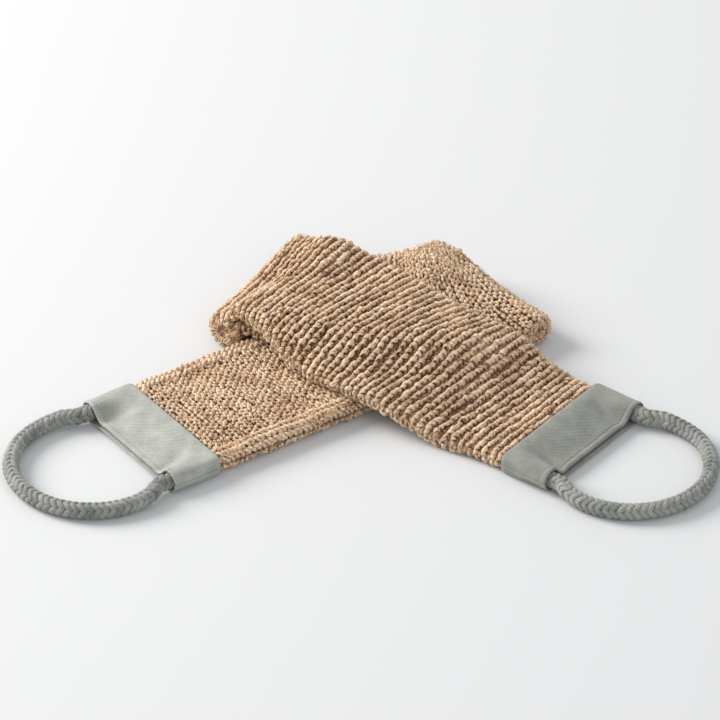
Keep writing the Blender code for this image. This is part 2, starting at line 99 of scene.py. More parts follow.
CAP_LENGTH = 34 * MM
CAP_HEIGHT = 14.0 * MM
CAP_SEAM_HALF_WIDTH = 51.5 * MM
CAP_EXIT_HALF_WIDTH = 52.7 * MM
CLOTH = 1.1 * MM
UPPER_DIP = 7.5 * MM
LOWER_DIP = 2.0 * MM
ROPE_RADIUS = 5.5 * MM
ROPE_LINE = 45 * MM
LOOP_RADIUS = 51 * MM
LOOP_CENTRE = 61 * MM
LOOP_ARC = math.radians(100)
LOOP_FALL = 0.6 * LOOP_RADIUS            # length in which the rope comes down to the floor
TAIL_START = 12 * MM
HANDLE_AXIS = 40.3 * MM                  # swing axis of a loop, from the cap's seam

UP = np.array((0, 0, 1.0))
LEFT_DIR = np.array((math.cos(LEFT_RUN_ANGLE), math.sin(LEFT_RUN_ANGLE), 0))
LEFT_SIDE = np.cross(UP, LEFT_DIR)
TOP_DIR = np.array((math.cos(TOP_RUN_ANGLE), math.sin(TOP_RUN_ANGLE), 0))
TOP_SIDE = np.cross(UP, TOP_DIR)
LEFT_CAP_ORIGIN = CROSSING - LEFT_DIR * LEFT_SEAM_REACH
RIGHT_CAP_ORIGIN = CROSSING + TOP_DIR * RIGHT_SEAM_REACH


def smooth(t):
    t = np.clip(t, 0.0, 1.0)
    return t * t * (3 - 2 * t)


def mix(a, b, t):
    return a + (b - a) * t


def col(values):
    """A list of numbers as a column, to multiply a direction."""
    return np.asarray(values, dtype=float)[..., None]


def hermite(start, leave, end, arrive, u):
    u = col(u)
    return (start * (2 * u**3 - 3 * u**2 + 1) + leave * (u**3 - 2 * u**2 + u)
            + end * (3 * u**2 - 2 * u**3) + arrive * (u**3 - u**2))


class Fold:
    """A half turn of the strap round a level line."""

    def __init__(self, tangent, line, heading):
        self.tangent = tangent
        self.line = line
        outward = np.cross(UP, line)
        outward /= np.linalg.norm(outward)
        self.outward = outward if outward @ heading > 0 else -outward

    def point(self, n, radius, turn):
        return (self.tangent + self.line * col(n) + self.outward * col(radius * np.sin(turn))
                + UP * col(ROLL_OUTER - radius * np.cos(turn)))


def mirrored(direction, fold):
    return direction - fold.outward * (2 * (direction @ fold.outward))


RIGHT_STRAIGHT = RIGHT_FOLD_REACH - ROLL_OUTER     # crossing to where the fold's roll starts
LEFT_STRAIGHT = LEFT_FOLD_REACH - ROLL_OUTER
RIGHT_FOLD = Fold(CROSSING + LEFT_DIR * RIGHT_STRAIGHT,
                  LEFT_SIDE + LEFT_DIR * RIGHT_FOLD_SKEW, LEFT_DIR)
LEFT_FOLD = Fold(CROSSING - TOP_DIR * LEFT_STRAIGHT,
                 TOP_SIDE - TOP_DIR * LEFT_FOLD_SKEW, -TOP_DIR)
MIDDLE_REACH = np.linalg.norm(LEFT_FOLD.tangent - RIGHT_FOLD.tangent) * MIDDLE_BOW
MIDDLE_LEAVE = mirrored(LEFT_DIR, RIGHT_FOLD) * MIDDLE_REACH
MIDDLE_ARRIVE = -mirrored(-TOP_DIR, LEFT_FOLD) * MIDDLE_REACH


def middle_centre(u):
    return hermite(RIGHT_FOLD.tangent, MIDDLE_LEAVE, LEFT_FOLD.tangent, MIDDLE_ARRIVE, u)


def middle_across(u):
    """Across the middle run, square to its centre line."""
    u = col(u)
    heading = (RIGHT_FOLD.tangent * (6 * u**2 - 6 * u) + MIDDLE_LEAVE * (3 * u**2 - 4 * u + 1)
               + LEFT_FOLD.tangent * (6 * u - 6 * u**2) + MIDDLE_ARRIVE * (3 * u**2 - 2 * u))
    heading /= np.linalg.norm(heading, axis=-1, keepdims=True)
    return -np.cross(UP, heading)


def middle_side(u):
    u = np.asarray(u, dtype=float)
    first, last = middle_across(np.zeros(1))[0], middle_across(np.ones(1))[0]
    near_start, near_end = 1 - smooth(u / SKEW_PART), 1 - smooth((1 - u) / SKEW_PART)
    return (middle_across(u) + (RIGHT_FOLD.line - first) * col(near_start)
            + (LEFT_FOLD.line - last) * col(near_end))


MIDDLE_U = np.linspace(0, 1, 41)
MIDDLE_CENTRES, MIDDLE_SIDES = middle_centre(MIDDLE_U), middle_side(MIDDLE_U)
FINE_U = np.linspace(0, 1, 401)
MIDDLE_LENGTHS = np.concatenate(([0], np.cumsum(
    np.linalg.norm(np.diff(middle_centre(FINE_U), axis=0), axis=1))))
MIDDLE_LENGTH = MIDDLE_LENGTHS[-1]


def over_left_run(point):
    """1 above the left run, down to 0 at the left fold behind it or at the floor before it."""
    margin = HALF_WIDTH + DRAPE_MARGIN
    across = (point - CROSSING) @ LEFT_SIDE
    to_fold = np.maximum(0.0, (LEFT_FOLD.tangent - point) @ LEFT_FOLD.outward)
    before = 1 - smooth((-across - margin) / DRAPE_OVER_LEFT)
    beyond = 1 - smooth((across - margin) / np.maximum(across - margin + to_fold, 1e-6))
    return np.where(across < -margin, before, np.where(across > margin, beyond, 1.0))


def pucker(u, n):
    """Rise of the middle run's back edge, which the turn in its plane has left too long."""
    along = smooth(u / PUCKER_FROM_START) * smooth((1 - u) / PUCKER_FROM_END)
    return PUCKER * along * smooth((n - PUCKER_LINE) / PUCKER_WIDTH)


def top_height(point):
    """How far the top run is lifted by what it lies on."""
    best = np.full(point.shape[:-1], 9.0)
    near_u, near_n = np.zeros_like(best), np.zeros_like(best)
    flat = point * (1, 1, 0)
    for u, centre, side in zip(MIDDLE_U, MIDDLE_CENTRES, MIDDLE_SIDES):
        n = np.clip((flat - centre) @ side / (side @ side), -HALF_WIDTH, HALF_WIDTH)
        distance = np.linalg.norm(flat - centre - side * col(n), axis=-1)
        closer = distance < best
        best = np.where(closer, distance, best)
        near_u, near_n = np.where(closer, u, near_u), np.where(closer, n, near_n)
    over_middle = 1 - smooth((best - MIDDLE_MARGIN) / DRAPE_OVER_MIDDLE)
    over_left = over_left_run(point)
    slope_room = SLOPE_GAP * 4 * over_left * (1 - over_left)
    rise = pucker(near_u, near_n) * over_middle
    return PITCH * (over_left + over_middle) + rise + slope_room


def swollen(point):
    """Plumps up the back corner of each fold, above the level of the fold's cut."""
    for fold in (LEFT_FOLD, RIGHT_FOLD):
        corner = (fold.tangent + fold.line * SWELL_LINE)[:2]
        distance = np.linalg.norm(point[..., :2] - corner, axis=-1)
        share = SWELL * (1 - smooth(distance / SWELL_REACH))
        point = point + UP * col(share * np.maximum(0, point[..., 2] - ROLL_OUTER))
    return point


def press_share(point):
    spot = (CROSSING + LEFT_DIR * PRESS_ALONG + LEFT_SIDE * PRESS_ACROSS)[:2]
    distance = np.linalg.norm(point[..., :2] - spot, axis=-1)
    return PRESS * (1 - smooth(distance / PRESS_REACH))


def pressed(point):
    """Flattens all layers alike where the stack carries the top run's back edge."""
    share = press_share(point)
    return point * np.stack([np.ones_like(share), np.ones_like(share), 1 - share], -1)


def squeezed(distance):
    """How a section thins, narrows and lifts on its way into a cap."""
    squeeze = 1 - smooth(distance / END_TAPER)
    lift = mix(PAD / 2, CAP_HEIGHT / 2, squeeze)
    return mix(1, END_THIN, squeeze), mix(1, END_NARROW, squeeze), lift


def left_run(v, n, g):
    """v from the left cap's seam to the middle of the right fold."""
    thin, narrow, lift = squeezed(v)
    along = np.minimum(v - LEFT_SEAM_REACH, RIGHT_STRAIGHT)
    part = col(np.clip(along / RIGHT_STRAIGHT, 0, 1))
    side = LEFT_SIDE * (1 - part) + RIGHT_FOLD.line * part
    flat = CROSSING + LEFT_DIR * col(along) + side * col(n * narrow) + UP * col(lift + g * thin)
    turn = (v - LEFT_SEAM_REACH - RIGHT_STRAIGHT) / ROLL_OUTER
    rolled = swollen(RIGHT_FOLD.point(n, ROLL_MID - g, turn))
    return pressed(np.where(col(turn) > 0, rolled, flat))


def middle_run(v, n, g):
    """v from the middle of the right fold to the middle of the left fold."""
    u = np.interp(v - QUARTER, MIDDLE_LENGTHS, FINE_U)
    point = middle_centre(u) + middle_side(u) * col(n)
    height = PITCH * over_left_run(point) + pucker(u, n)
    flat = point + UP * col(PAD / 2 + height - g)
    first = RIGHT_FOLD.point(n, ROLL_MID - g, math.pi / 2 + v / ROLL_OUTER)
    last_turn = (v - QUARTER - MIDDLE_LENGTH) / ROLL_OUTER
    last = LEFT_FOLD.point(n, ROLL_MID + g, last_turn)
    rolled = np.where(col(last_turn) > 0, last, flat)
    return pressed(swollen(np.where(col(v) < QUARTER, first, rolled)))


def top_run(v, n, g):
    """v from the middle of the left fold to the right cap's seam."""
    length = RIGHT_SEAM_REACH + LEFT_STRAIGHT
    along = v - QUARTER
    thin, narrow, lift = squeezed(length - along)
    skew = col(1 - smooth(along / (length / 3)))
    side = TOP_SIDE * (1 - skew) + LEFT_FOLD.line * skew
    spread = (smooth(along / SPREAD_FULL_FROM_FOLD)
              * smooth((length - along) / SPREAD_FULL_FROM_CAP))
    widen = FRONT_SPREAD * smooth(-n / HALF_SPREAD) - BACK_TUCK * smooth(n / HALF_SPREAD)
    narrow = narrow * (1 + spread * widen)
    point = LEFT_FOLD.tangent + TOP_DIR * col(along) + side * col(n * narrow)
    flat = point + UP * col(lift + top_height(point) + g * thin)
    rolled = LEFT_FOLD.point(n, ROLL_MID + g, math.pi / 2 + v / ROLL_OUTER)
    return pressed(swollen(np.where(col(along) < 0, rolled, flat)))


LEFT_LENGTH = LEFT_SEAM_REACH + RIGHT_STRAIGHT + QUARTER
MIDDLE_FULL = QUARTER + MIDDLE_LENGTH + QUARTER
TOP_LENGTH = QUARTER + LEFT_STRAIGHT + RIGHT_SEAM_REACH

# ---- the strap's section ----
SECTION_FLAT = 44 * MM                   # half of the flat part of one panel
SECTION_EDGE = 6.0 * MM                  # its rounded edge, across and through
SECTION_DROP = 5.5 * MM
SECTION_PARTING = 0.7 * MM
SECTION_ARC = (SECTION_EDGE + SECTION_DROP) / 2 * math.pi / 2
HALF_GIRTH = SECTION_FLAT + SECTION_ARC


def section(q, h, side):
    """(n, g) of a point at q across a panel and h proud of it; side is 1 on the front panel."""
    turn = np.clip((np.abs(q) - SECTION_FLAT) / SECTION_ARC, 0, 1) * math.pi / 2
    n = np.sign(q) * (np.minimum(np.abs(q), SECTION_FLAT) + (SECTION_EDGE + h) * np.sin(turn))
    return n, side * (SECTION_PARTING + (SECTION_DROP + h) * np.cos(turn))


# ---- mesh helpers ----

FLOOR_GAP = 0.15 * MM                    # nothing soft goes lower
LUMPS = 0.17                             # unevenness of hand-spun yarn


def mesh_object(name, points, quads, caps=(), attributes=None):
    """A mesh from points, four-sided faces, and more faces of any size."""
    mesh = bpy.data.meshes.new(name)
    quads = np.asarray(quads, dtype=np.int32).reshape(-1, 4)
    loops = np.concatenate([quads.ravel()] + [np.asarray(c, dtype=np.int32) for c in caps])
    sizes = np.concatenate([np.full(len(quads), 4), [len(c) for c in caps]]).astype(np.int32)
    starts = np.concatenate(([0], np.cumsum(sizes)[:-1])).astype(np.int32)
    mesh.vertices.add(len(points))
    mesh.vertices.foreach_set("co", np.asarray(points, dtype=np.float32).ravel())
    mesh.loops.add(len(loops))
    mesh.loops.foreach_set("vertex_index", loops)
    mesh.polygons.add(len(sizes))
    mesh.polygons.foreach_set("loop_start", starts)
    for key, (kind, values) in (attributes or {}).items():
        layer = mesh.attributes.new(key, kind, "POINT")
        field = "vector" if kind == "FLOAT_VECTOR" else "value"
        layer.data.foreach_set(field, np.asarray(values, dtype=np.float32).ravel())
    mesh.update(calc_edges=True)
    mesh.shade_smooth()
    obj = bpy.data.objects.new(name, mesh)
    bpy.context.scene.collection.objects.link(obj)
    return obj


def unit(vectors):
    return vectors / np.maximum(np.linalg.norm(vectors, axis=-1, keepdims=True), 1e-12)


def carried_normals(tangents):
    """A normal at each point of each path that turns as little as it can."""
    normals = np.zeros_like(tangents)
    guess = np.broadcast_to(UP, tangents[:, 0].shape) + 0.01
    for i in range(tangents.shape[1]):
        along = tangents[:, i]
        guess = unit(guess - along * np.sum(guess * along, axis=-1, keepdims=True))
        normals[:, i] = guess
    return normals


def tubes(name, paths, radius, sides, depth=0.0, normals=None, flatness=1.0, tones=None,
          lumps=None):
    """One closed tube along each path of an array (rows, points, 3)."""
    rows, count, _ = paths.shape
    tangents = unit(np.gradient(paths, axis=1))
    if normals is None:
        normals = carried_normals(tangents)
    across = np.cross(tangents, normals)
    angles = np.arange(sides) * 2 * math.pi / sides
    radius = np.broadcast_to(radius, (rows, count))[:, :, None, None]
    if lumps is not None:
        radius = radius * (1 + lumps.normal(0, LUMPS, (rows, count, sides, 1)))
    cosine, sine = np.cos(angles)[:, None], np.sin(angles)[:, None]
    rings = paths[:, :, None] + radius * (normals[:, :, None] * cosine * flatness
                                          + across[:, :, None] * sine)
    rings[..., 2] = np.maximum(rings[..., 2], FLOOR_GAP)

    index = np.arange(rows * count * sides).reshape(rows, count, sides)
    here, there = index[:, :-1], index[:, 1:]
    quads = np.stack([here, np.roll(here, -1, axis=2), np.roll(there, -1, axis=2), there], axis=-1)
    caps = [index[r, 0, ::-1] for r in range(rows)] + [index[r, -1] for r in range(rows)]

    steps = np.linalg.norm(np.diff(paths, axis=1), axis=-1)
    lengths = np.concatenate((np.zeros((rows, 1)), np.cumsum(steps, axis=1)), axis=1) / MM
    yarn = np.zeros((rows, count, sides, 3))
    yarn[..., 0], yarn[..., 1] = np.cos(angles), np.sin(angles)
    yarn[..., 2] = lengths[:, :, None]
    if tones is None:
        tones = np.zeros(rows)
    shape = (rows, count, sides)
    tone = np.broadcast_to(np.asarray(tones).reshape(rows, -1, 1), shape)
    # painted shade per point, which the yarn materials take off the colour
    shade_per_point = np.broadcast_to(np.broadcast_to(depth, (rows, count))[:, :, None], shape)
    attributes = {"yarn": ("FLOAT_VECTOR", yarn), "tone": ("FLOAT", tone),
                  "depth": ("FLOAT", shade_per_point)}
    return mesh_object(name, rings.reshape(-1, 3), quads, caps, attributes)


# ---- camera, stage and light ----

LENS = 344.5
CAMERA_ELEVATION = math.radians(34.7)
CAMERA_DISTANCE = 4.38
CAMERA_TARGET = np.array((-0.0007, 0.0374, 0))
STAGE_HALF = 8.0
STAGE_COLOUR = (0.675, 0.677, 0.679)


def aim(obj, target):
    obj.rotation_euler = (Vector(target) - obj.location).to_track_quat("-Z", "Y").to_euler()


def make_camera():
    data = bpy.data.cameras.new("camera")
    data.sensor_width = 36
    data.lens = LENS
    data.clip_end = 100
    camera = bpy.data.objects.new("camera", data)
    away = np.array((0, -math.cos(CAMERA_ELEVATION), math.sin(CAMERA_ELEVATION)))
    camera.location = CAMERA_TARGET + CAMERA_DISTANCE * away
    bpy.context.scene.collection.objects.link(camera)
    aim(camera, CAMERA_TARGET)
    bpy.context.scene.camera = camera


def make_stage():
    """A wide pale floor, seen from any side."""
    corners = [(-STAGE_HALF, -STAGE_HALF, 0), (STAGE_HALF, -STAGE_HALF, 0),
               (STAGE_HALF, STAGE_HALF, 0), (-STAGE_HALF, STAGE_HALF, 0)]
    floor = mesh_object("stage", corners, [(0, 1, 2, 3)])
    floor.data.materials.append(plain_material("stage_paper", STAGE_COLOUR, 0.9))


def make_light(name, location, size, power, colour=(1, 1, 1)):
    data = bpy.data.lights.new(name, "AREA")
    data.shape = "DISK"
    data.size = size
    data.energy = power
    data.color = colour
    light = bpy.data.objects.new(name, data)
    light.location = location
    bpy.context.scene.collection.objects.link(light)
    aim(light, (0, 0, 0))


def make_lights():
    make_light("key_light", (-2.4, 0.95, 1.5), 1.7, 112, (1.0, 0.985, 0.96))
    make_light("fill_light", (1.2, -2.4, 1.8), 2.4, 16, (0.97, 0.985, 1.0))
    world = bpy.data.worlds.new("studio")
    world.use_nodes = True
    background = world.node_tree.nodes["Background"]
    background.inputs["Color"].default_value = (0.95, 0.97, 1.0, 1)
    background.inputs["Strength"].default_value = 0.65
    bpy.context.scene.world = world
    bpy.context.scene.view_settings.view_transform = "Standard"


# ---- materials ----

def new_material(name, roughness, sheen=0.0, sheen_tint=(1, 1, 1)):
    material = bpy.data.materials.new(name)
    material.use_nodes = True
    nodes, links = material.node_tree.nodes, material.node_tree.links
    shader = nodes["Principled BSDF"]
    shader.inputs["Roughness"].default_value = roughness
    shader.inputs["Specular IOR Level"].default_value = 0.25
    shader.inputs["Sheen Weight"].default_value = sheen
    shader.inputs["Sheen Roughness"].default_value = 0.5
    shader.inputs["Sheen Tint"].default_value = (*sheen_tint, 1)
    return material, nodes, links, shader


def plain_material(name, colour, roughness):
    """Even paper with a trace of unevenness in its gloss."""
    material, nodes, links, shader = new_material(name, roughness)
    shader.inputs["Base Color"].default_value = (*colour, 1)
    noise = nodes.new("ShaderNodeTexNoise")
    noise.inputs["Scale"].default_value = 30
    ramp = nodes.new("ShaderNodeMapRange")
    ramp.inputs["To Min"].default_value = roughness - 0.03
    ramp.inputs["To Max"].default_value = roughness + 0.03
    links.new(noise.outputs["Fac"], ramp.inputs["Value"])
    links.new(ramp.outputs["Result"], shader.inputs["Roughness"])
    return material


def colour_ramp(nodes, stops):
    ramp = nodes.new("ShaderNodeValToRGB")
    elements = ramp.color_ramp.elements
    while len(elements) < len(stops):
        elements.new(0.5)
    for element, (position, colour) in zip(elements, stops):
        element.position = position
        element.color = (*colour, 1)
    return ramp


def math_node(nodes, links, operation, a, b):
    node = nodes.new("ShaderNodeMath")
    node.operation = operation
    for socket, value in zip(node.inputs, (a, b)):
        if isinstance(value, (int, float)):
            socket.default_value = value
        else:
            links.new(value, socket)
    return node.outputs[0]


FIBRE_CONTRAST = 1.25
PATCH_CONTRAST = 0.7


def yarn_material(name, stops, twist, fibre, bump, patch=60.0, sheen=0.25, tint=(1, 1, 1),
                  grain=0.0):
    """Spun yarn: fibres and plies that wind round it, colour that varies by row and patch, and
    painted shade that darkens it where it lies low between rows.
    """
    material, nodes, links, shader = new_material(name, 0.92, sheen, tint)
    place = nodes.new("ShaderNodeAttribute")
    place.attribute_name = "yarn"
    tone = nodes.new("ShaderNodeAttribute")
    tone.attribute_name = "tone"
    depth = nodes.new("ShaderNodeAttribute")
    depth.attribute_name = "depth"
    split = nodes.new("ShaderNodeSeparateXYZ")
    links.new(place.outputs["Vector"], split.inputs[0])
    turned = nodes.new("ShaderNodeVectorRotate")
    turned.rotation_type = "Z_AXIS"
    links.new(place.outputs["Vector"], turned.inputs["Vector"])
    links.new(math_node(nodes, links, "MULTIPLY", split.outputs["Z"], twist),
              turned.inputs["Angle"])
    stretched = nodes.new("ShaderNodeVectorMath")
    stretched.operation = "MULTIPLY"
    stretched.inputs[1].default_value = (1, 1, 0.22)
    links.new(turned.outputs[0], stretched.inputs[0])
    shifted = nodes.new("ShaderNodeVectorMath")
    shifted.operation = "ADD"
    links.new(stretched.outputs[0], shifted.inputs[0])
    links.new(tone.outputs["Fac"], shifted.inputs[1])
    fibres = nodes.new("ShaderNodeTexNoise")
    fibres.inputs["Scale"].default_value = fibre
    fibres.inputs["Detail"].default_value = 4
    fibres.inputs["Roughness"].default_value = 0.65
    links.new(shifted.outputs[0], fibres.inputs["Vector"])

    plies = nodes.new("ShaderNodeSeparateXYZ")
    links.new(turned.outputs[0], plies.inputs[0])
    ply = math_node(nodes, links, "POWER", math_node(nodes, links, "ABSOLUTE",
                                                     plies.outputs["X"], 0), 0.7)
    height = math_node(nodes, links, "ADD", math_node(nodes, links, "MULTIPLY", ply, 0.35),
                       fibres.outputs["Fac"])
    bumped = nodes.new("ShaderNodeBump")
    bumped.inputs["Strength"].default_value = 0.9
    bumped.inputs["Distance"].default_value = bump
    links.new(height, bumped.inputs["Height"])
    links.new(bumped.outputs[0], shader.inputs["Normal"])

    where = nodes.new("ShaderNodeTexCoord")
    patches = nodes.new("ShaderNodeTexNoise")
    patches.inputs["Scale"].default_value = patch
    patches.inputs["Detail"].default_value = 3
    links.new(where.outputs["Object"], patches.inputs["Vector"])
    shade = math_node(nodes, links, "MULTIPLY", fibres.outputs["Fac"], FIBRE_CONTRAST)
    shade = math_node(nodes, links, "ADD", shade,
                      math_node(nodes, links, "MULTIPLY", patches.outputs["Fac"], PATCH_CONTRAST))
    shade = math_node(nodes, links, "SUBTRACT", shade,
                      (FIBRE_CONTRAST + PATCH_CONTRAST - 1) / 2)
    shade = math_node(nodes, links, "ADD", shade,
                      math_node(nodes, links, "MULTIPLY", tone.outputs["Fac"], 0.08))
    # painted shade: the per-point shade attribute is taken off the colour, darkening yarn that lies
    # low
    shade = math_node(nodes, links, "SUBTRACT", shade, depth.outputs["Fac"])
    if grain:
        grains = nodes.new("ShaderNodeTexNoise")
        grains.inputs["Scale"].default_value = 780
        grains.inputs["Detail"].default_value = 2
        links.new(where.outputs["Object"], grains.inputs["Vector"])
        centred = math_node(nodes, links, "SUBTRACT", grains.outputs["Fac"], 0.5)
        shade = math_node(nodes, links, "ADD", shade,
                          math_node(nodes, links, "MULTIPLY", centred, grain))
    ramp = colour_ramp(nodes, stops)
    links.new(shade, ramp.inputs["Fac"])
    links.new(ramp.outputs["Color"], shader.inputs["Base Color"])
    return material


KNIT_STOPS = [(0.0, (0.15, 0.062, 0.030)), (0.20, (0.40, 0.225, 0.125)),
              (0.46, (0.80, 0.55, 0.345)), (0.75, (1.0, 0.80, 0.59))]
# painted shade: the darker seam yarn of the left run stands for the shaded groove along its side
# wall
LEFT_SEAM_SHADE_STOPS = [(0.15, (0.10, 0.045, 0.025)), (0.5, (0.30, 0.15, 0.085)),
              (0.75, (0.45, 0.27, 0.16))]
ROPE_STOPS = [(0.05, (0.068, 0.071, 0.061)), (0.35, (0.205, 0.212, 0.188)),
              (0.75, (0.44, 0.447, 0.405))]


def knit_base_material():
    """The dark colour of the knit's inner body: painted shade between the rows of the knit."""
    material, nodes, links, shader = new_material("knit_depth", 1.0)
    where = nodes.new("ShaderNodeTexCoord")
    noise = nodes.new("ShaderNodeTexNoise")
    noise.inputs["Scale"].default_value = 700
    noise.inputs["Detail"].default_value = 4
    links.new(where.outputs["Object"], noise.inputs["Vector"])
    # painted shade: near-black browns for what shows between the rows
    ramp = colour_ramp(nodes, [(0.3, (0.045, 0.02, 0.01)), (0.7, (0.20, 0.10, 0.05))])
    links.new(noise.outputs["Fac"], ramp.inputs["Fac"])
    links.new(ramp.outputs["Color"], shader.inputs["Base Color"])
    bump = nodes.new("ShaderNodeBump")
    bump.inputs["Distance"].default_value = 0.6 * MM
    links.new(noise.outputs["Fac"], bump.inputs["Height"])
    links.new(bump.outputs[0], shader.inputs["Normal"])
    return material


CLOTH_STOPS = [(0.42, (0.20, 0.21, 0.185)), (0.68, (0.36, 0.368, 0.328)),
               (0.95, (0.54, 0.545, 0.49))]


def cloth_material(name, tone):
    """Sage cotton: a fine diagonal twill with a soft nap; its colours and sheen are scaled by a
    painted shade factor, below 1 for the copy of the cloth that lies in shade.
    """
    material, nodes, links, shader = new_material(name, 0.88, 0.3 * tone, (0.95, 1, 0.95))
    weave = nodes.new("ShaderNodeAttribute")
    weave.attribute_name = "weave"
    turned = nodes.new("ShaderNodeMapping")
    turned.inputs["Rotation"].default_value = (0, 0, math.radians(38))
    links.new(weave.outputs["Vector"], turned.inputs["Vector"])
    twill = nodes.new("ShaderNodeTexWave")
    twill.inputs["Scale"].default_value = 0.27
    twill.inputs["Distortion"].default_value = 2.2
    twill.inputs["Detail"].default_value = 3
    twill.inputs["Detail Scale"].default_value = 2.5
    links.new(turned.outputs[0], twill.inputs["Vector"])
    thread = nodes.new("ShaderNodeTexNoise")
    thread.inputs["Scale"].default_value = 1.5
    thread.inputs["Detail"].default_value = 4
    links.new(weave.outputs["Vector"], thread.inputs["Vector"])
    height = math_node(nodes, links, "ADD", thread.outputs["Fac"],
                       math_node(nodes, links, "MULTIPLY", twill.outputs["Fac"], 0.45))
    bump = nodes.new("ShaderNodeBump")
    bump.inputs["Distance"].default_value = 0.26 * MM
    links.new(height, bump.inputs["Height"])
    links.new(bump.outputs[0], shader.inputs["Normal"])
    broad = nodes.new("ShaderNodeTexNoise")
    broad.inputs["Scale"].default_value = 0.09
    broad.inputs["Detail"].default_value = 4
    links.new(weave.outputs["Vector"], broad.inputs["Vector"])
    shade = math_node(nodes, links, "ADD",
                      math_node(nodes, links, "MULTIPLY", height, 0.62),
                      math_node(nodes, links, "MULTIPLY", broad.outputs["Fac"], 0.5))
    # painted shade: every colour stop is scaled by the shade factor
    stops = [(place, tuple(tone * part for part in colour)) for place, colour in CLOTH_STOPS]
    ramp = colour_ramp(nodes, stops)
    links.new(shade, ramp.inputs["Fac"])
    links.new(ramp.outputs["Color"], shader.inputs["Base Color"])
    return material


def thread_material(name, dark, light):
    """Fine twisted thread, or the packed fibres of a rope's core."""
    material, nodes, links, shader = new_material(name, 0.85, 0.2)
    where = nodes.new("ShaderNodeTexCoord")
    wave = nodes.new("ShaderNodeTexWave")
    wave.bands_direction = "DIAGONAL"
    wave.inputs["Scale"].default_value = 900
    wave.inputs["Distortion"].default_value = 2
    links.new(where.outputs["Object"], wave.inputs["Vector"])
    ramp = colour_ramp(nodes, [(0.2, dark), (0.8, light)])
    links.new(wave.outputs["Fac"], ramp.inputs["Fac"])
    links.new(ramp.outputs["Color"], shader.inputs["Base Color"])
    bump = nodes.new("ShaderNodeBump")
    bump.inputs["Distance"].default_value = 0.1 * MM
    links.new(wave.outputs["Fac"], bump.inputs["Height"])
    links.new(bump.outputs[0], shader.inputs["Normal"])
    return material


# ---- ropes ----

ROPE_STRANDS = 6                         # each way round
STRAND_TURN = 26 * MM
STRAND_LINE = 3.8 * MM                   # strand centre from the rope's, and its rise and fall
STRAND_WEAVE = 0.62 * MM
STRAND_HALF_WIDTH = 1.65 * MM
STRAND_FLATNESS = 0.62
ROPE_STEP = 0.6 * MM
TAIL_THINNING = 0.78                     # of the rope where its whipping binds it
TAIL_FLARE_FROM = 6 * MM
TAIL_FLARE = 4 * MM
LEAD_POINTS = 40
ARC_POINTS = 120
STRAND_SIDES = 12


def loop_arc_point(angle):
    return np.stack([LOOP_CENTRE + LOOP_RADIUS * np.cos(angle), LOOP_RADIUS * np.sin(angle)], -1)


def rope_line(origin, outward, side):
    """Dense centre line of a rope: a tail in the cap, the loop, and back into the cap."""
    start, join = np.array((HANDLE_AXIS, ROPE_LINE)), loop_arc_point(LOOP_ARC)
    lead = np.linalg.norm(join - start)
    arrive = np.array((math.sin(LOOP_ARC), -math.cos(LOOP_ARC))) * lead
    tail = np.stack([np.linspace(TAIL_START + 1 * MM, HANDLE_AXIS, LEAD_POINTS),
                     np.full(LEAD_POINTS, ROPE_LINE)], -1)[:-1]
    part = np.linspace(0, 1, LEAD_POINTS)
    leads = hermite(start, np.array((lead, 0)), join, arrive, part)[:-1]
    arc = loop_arc_point(np.linspace(LOOP_ARC, 0, ARC_POINTS))
    half = np.concatenate([tail, leads, arc])
    flat = np.concatenate([half, (half * (1, -1))[::-1][1:]])
    fall = smooth((flat[:, 0] - HANDLE_AXIS) / LOOP_FALL)
    line = (origin + outward * flat[:, :1] + side * flat[:, 1:]
            + UP * col(mix(CAP_HEIGHT / 2, ROPE_RADIUS, fall)))
    lengths = np.concatenate(([0], np.cumsum(np.linalg.norm(np.diff(line, axis=0), axis=1))))
    even = np.linspace(0, lengths[-1], round(lengths[-1] / ROPE_STEP))
    return np.stack([np.interp(even, lengths, line[:, k]) for k in range(3)], -1), even


def make_rope(prefix, origin, outward, side, material):
    """A twelve-strand plait: each strand goes over and under three times in a turn."""
    line, lengths = rope_line(origin, outward, side)
    tangent = unit(np.gradient(line, axis=0))
    across = unit(np.cross(tangent, UP))
    above = np.cross(across, tangent)
    reach = np.minimum(lengths, lengths[-1] - lengths)
    thin = mix(TAIL_THINNING, 1.0, smooth((reach - TAIL_FLARE_FROM) / TAIL_FLARE))
    rng = np.random.default_rng(11)
    paths, normals, tones, painted_shades = [], [], [], []
    for way in (1, -1):
        for k in range(ROPE_STRANDS):
            wobble = 0.05 * np.sin(lengths / (31 * MM) + rng.uniform(0, 6.3))
            angle = way * (2 * math.pi * (lengths / STRAND_TURN + k / ROPE_STRANDS) + wobble)
            rise = way * np.cos(3 * angle)
            radial = across * col(np.cos(angle)) + above * col(np.sin(angle))
            paths.append(line + radial * col((STRAND_LINE + STRAND_WEAVE * rise) * thin))
            normals.append(radial)
            tones.append(rng.uniform(-1, 1))
            # painted shade: a strand is darker where it dips under the strands that cross it
            painted_shades.append(0.22 * (1 - smooth((rise + 1) / 1.3)))
    paths, normals = np.array(paths), np.array(normals)
    tangents = unit(np.gradient(paths, axis=1))
    normals = unit(normals - tangents * np.sum(normals * tangents, axis=-1, keepdims=True))
    rope = tubes(f"{prefix}_braided_rope", paths, STRAND_HALF_WIDTH * thin[None], STRAND_SIDES,
                 depth=np.array(painted_shades), normals=normals, flatness=STRAND_FLATNESS, tones=tones)
    rope.data.materials.append(material)
    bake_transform(rope)
    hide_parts(f"{prefix}_rope_sheath", f"{prefix}_rope_tail_near", f"{prefix}_rope_tail_far")


# ---- knit ----

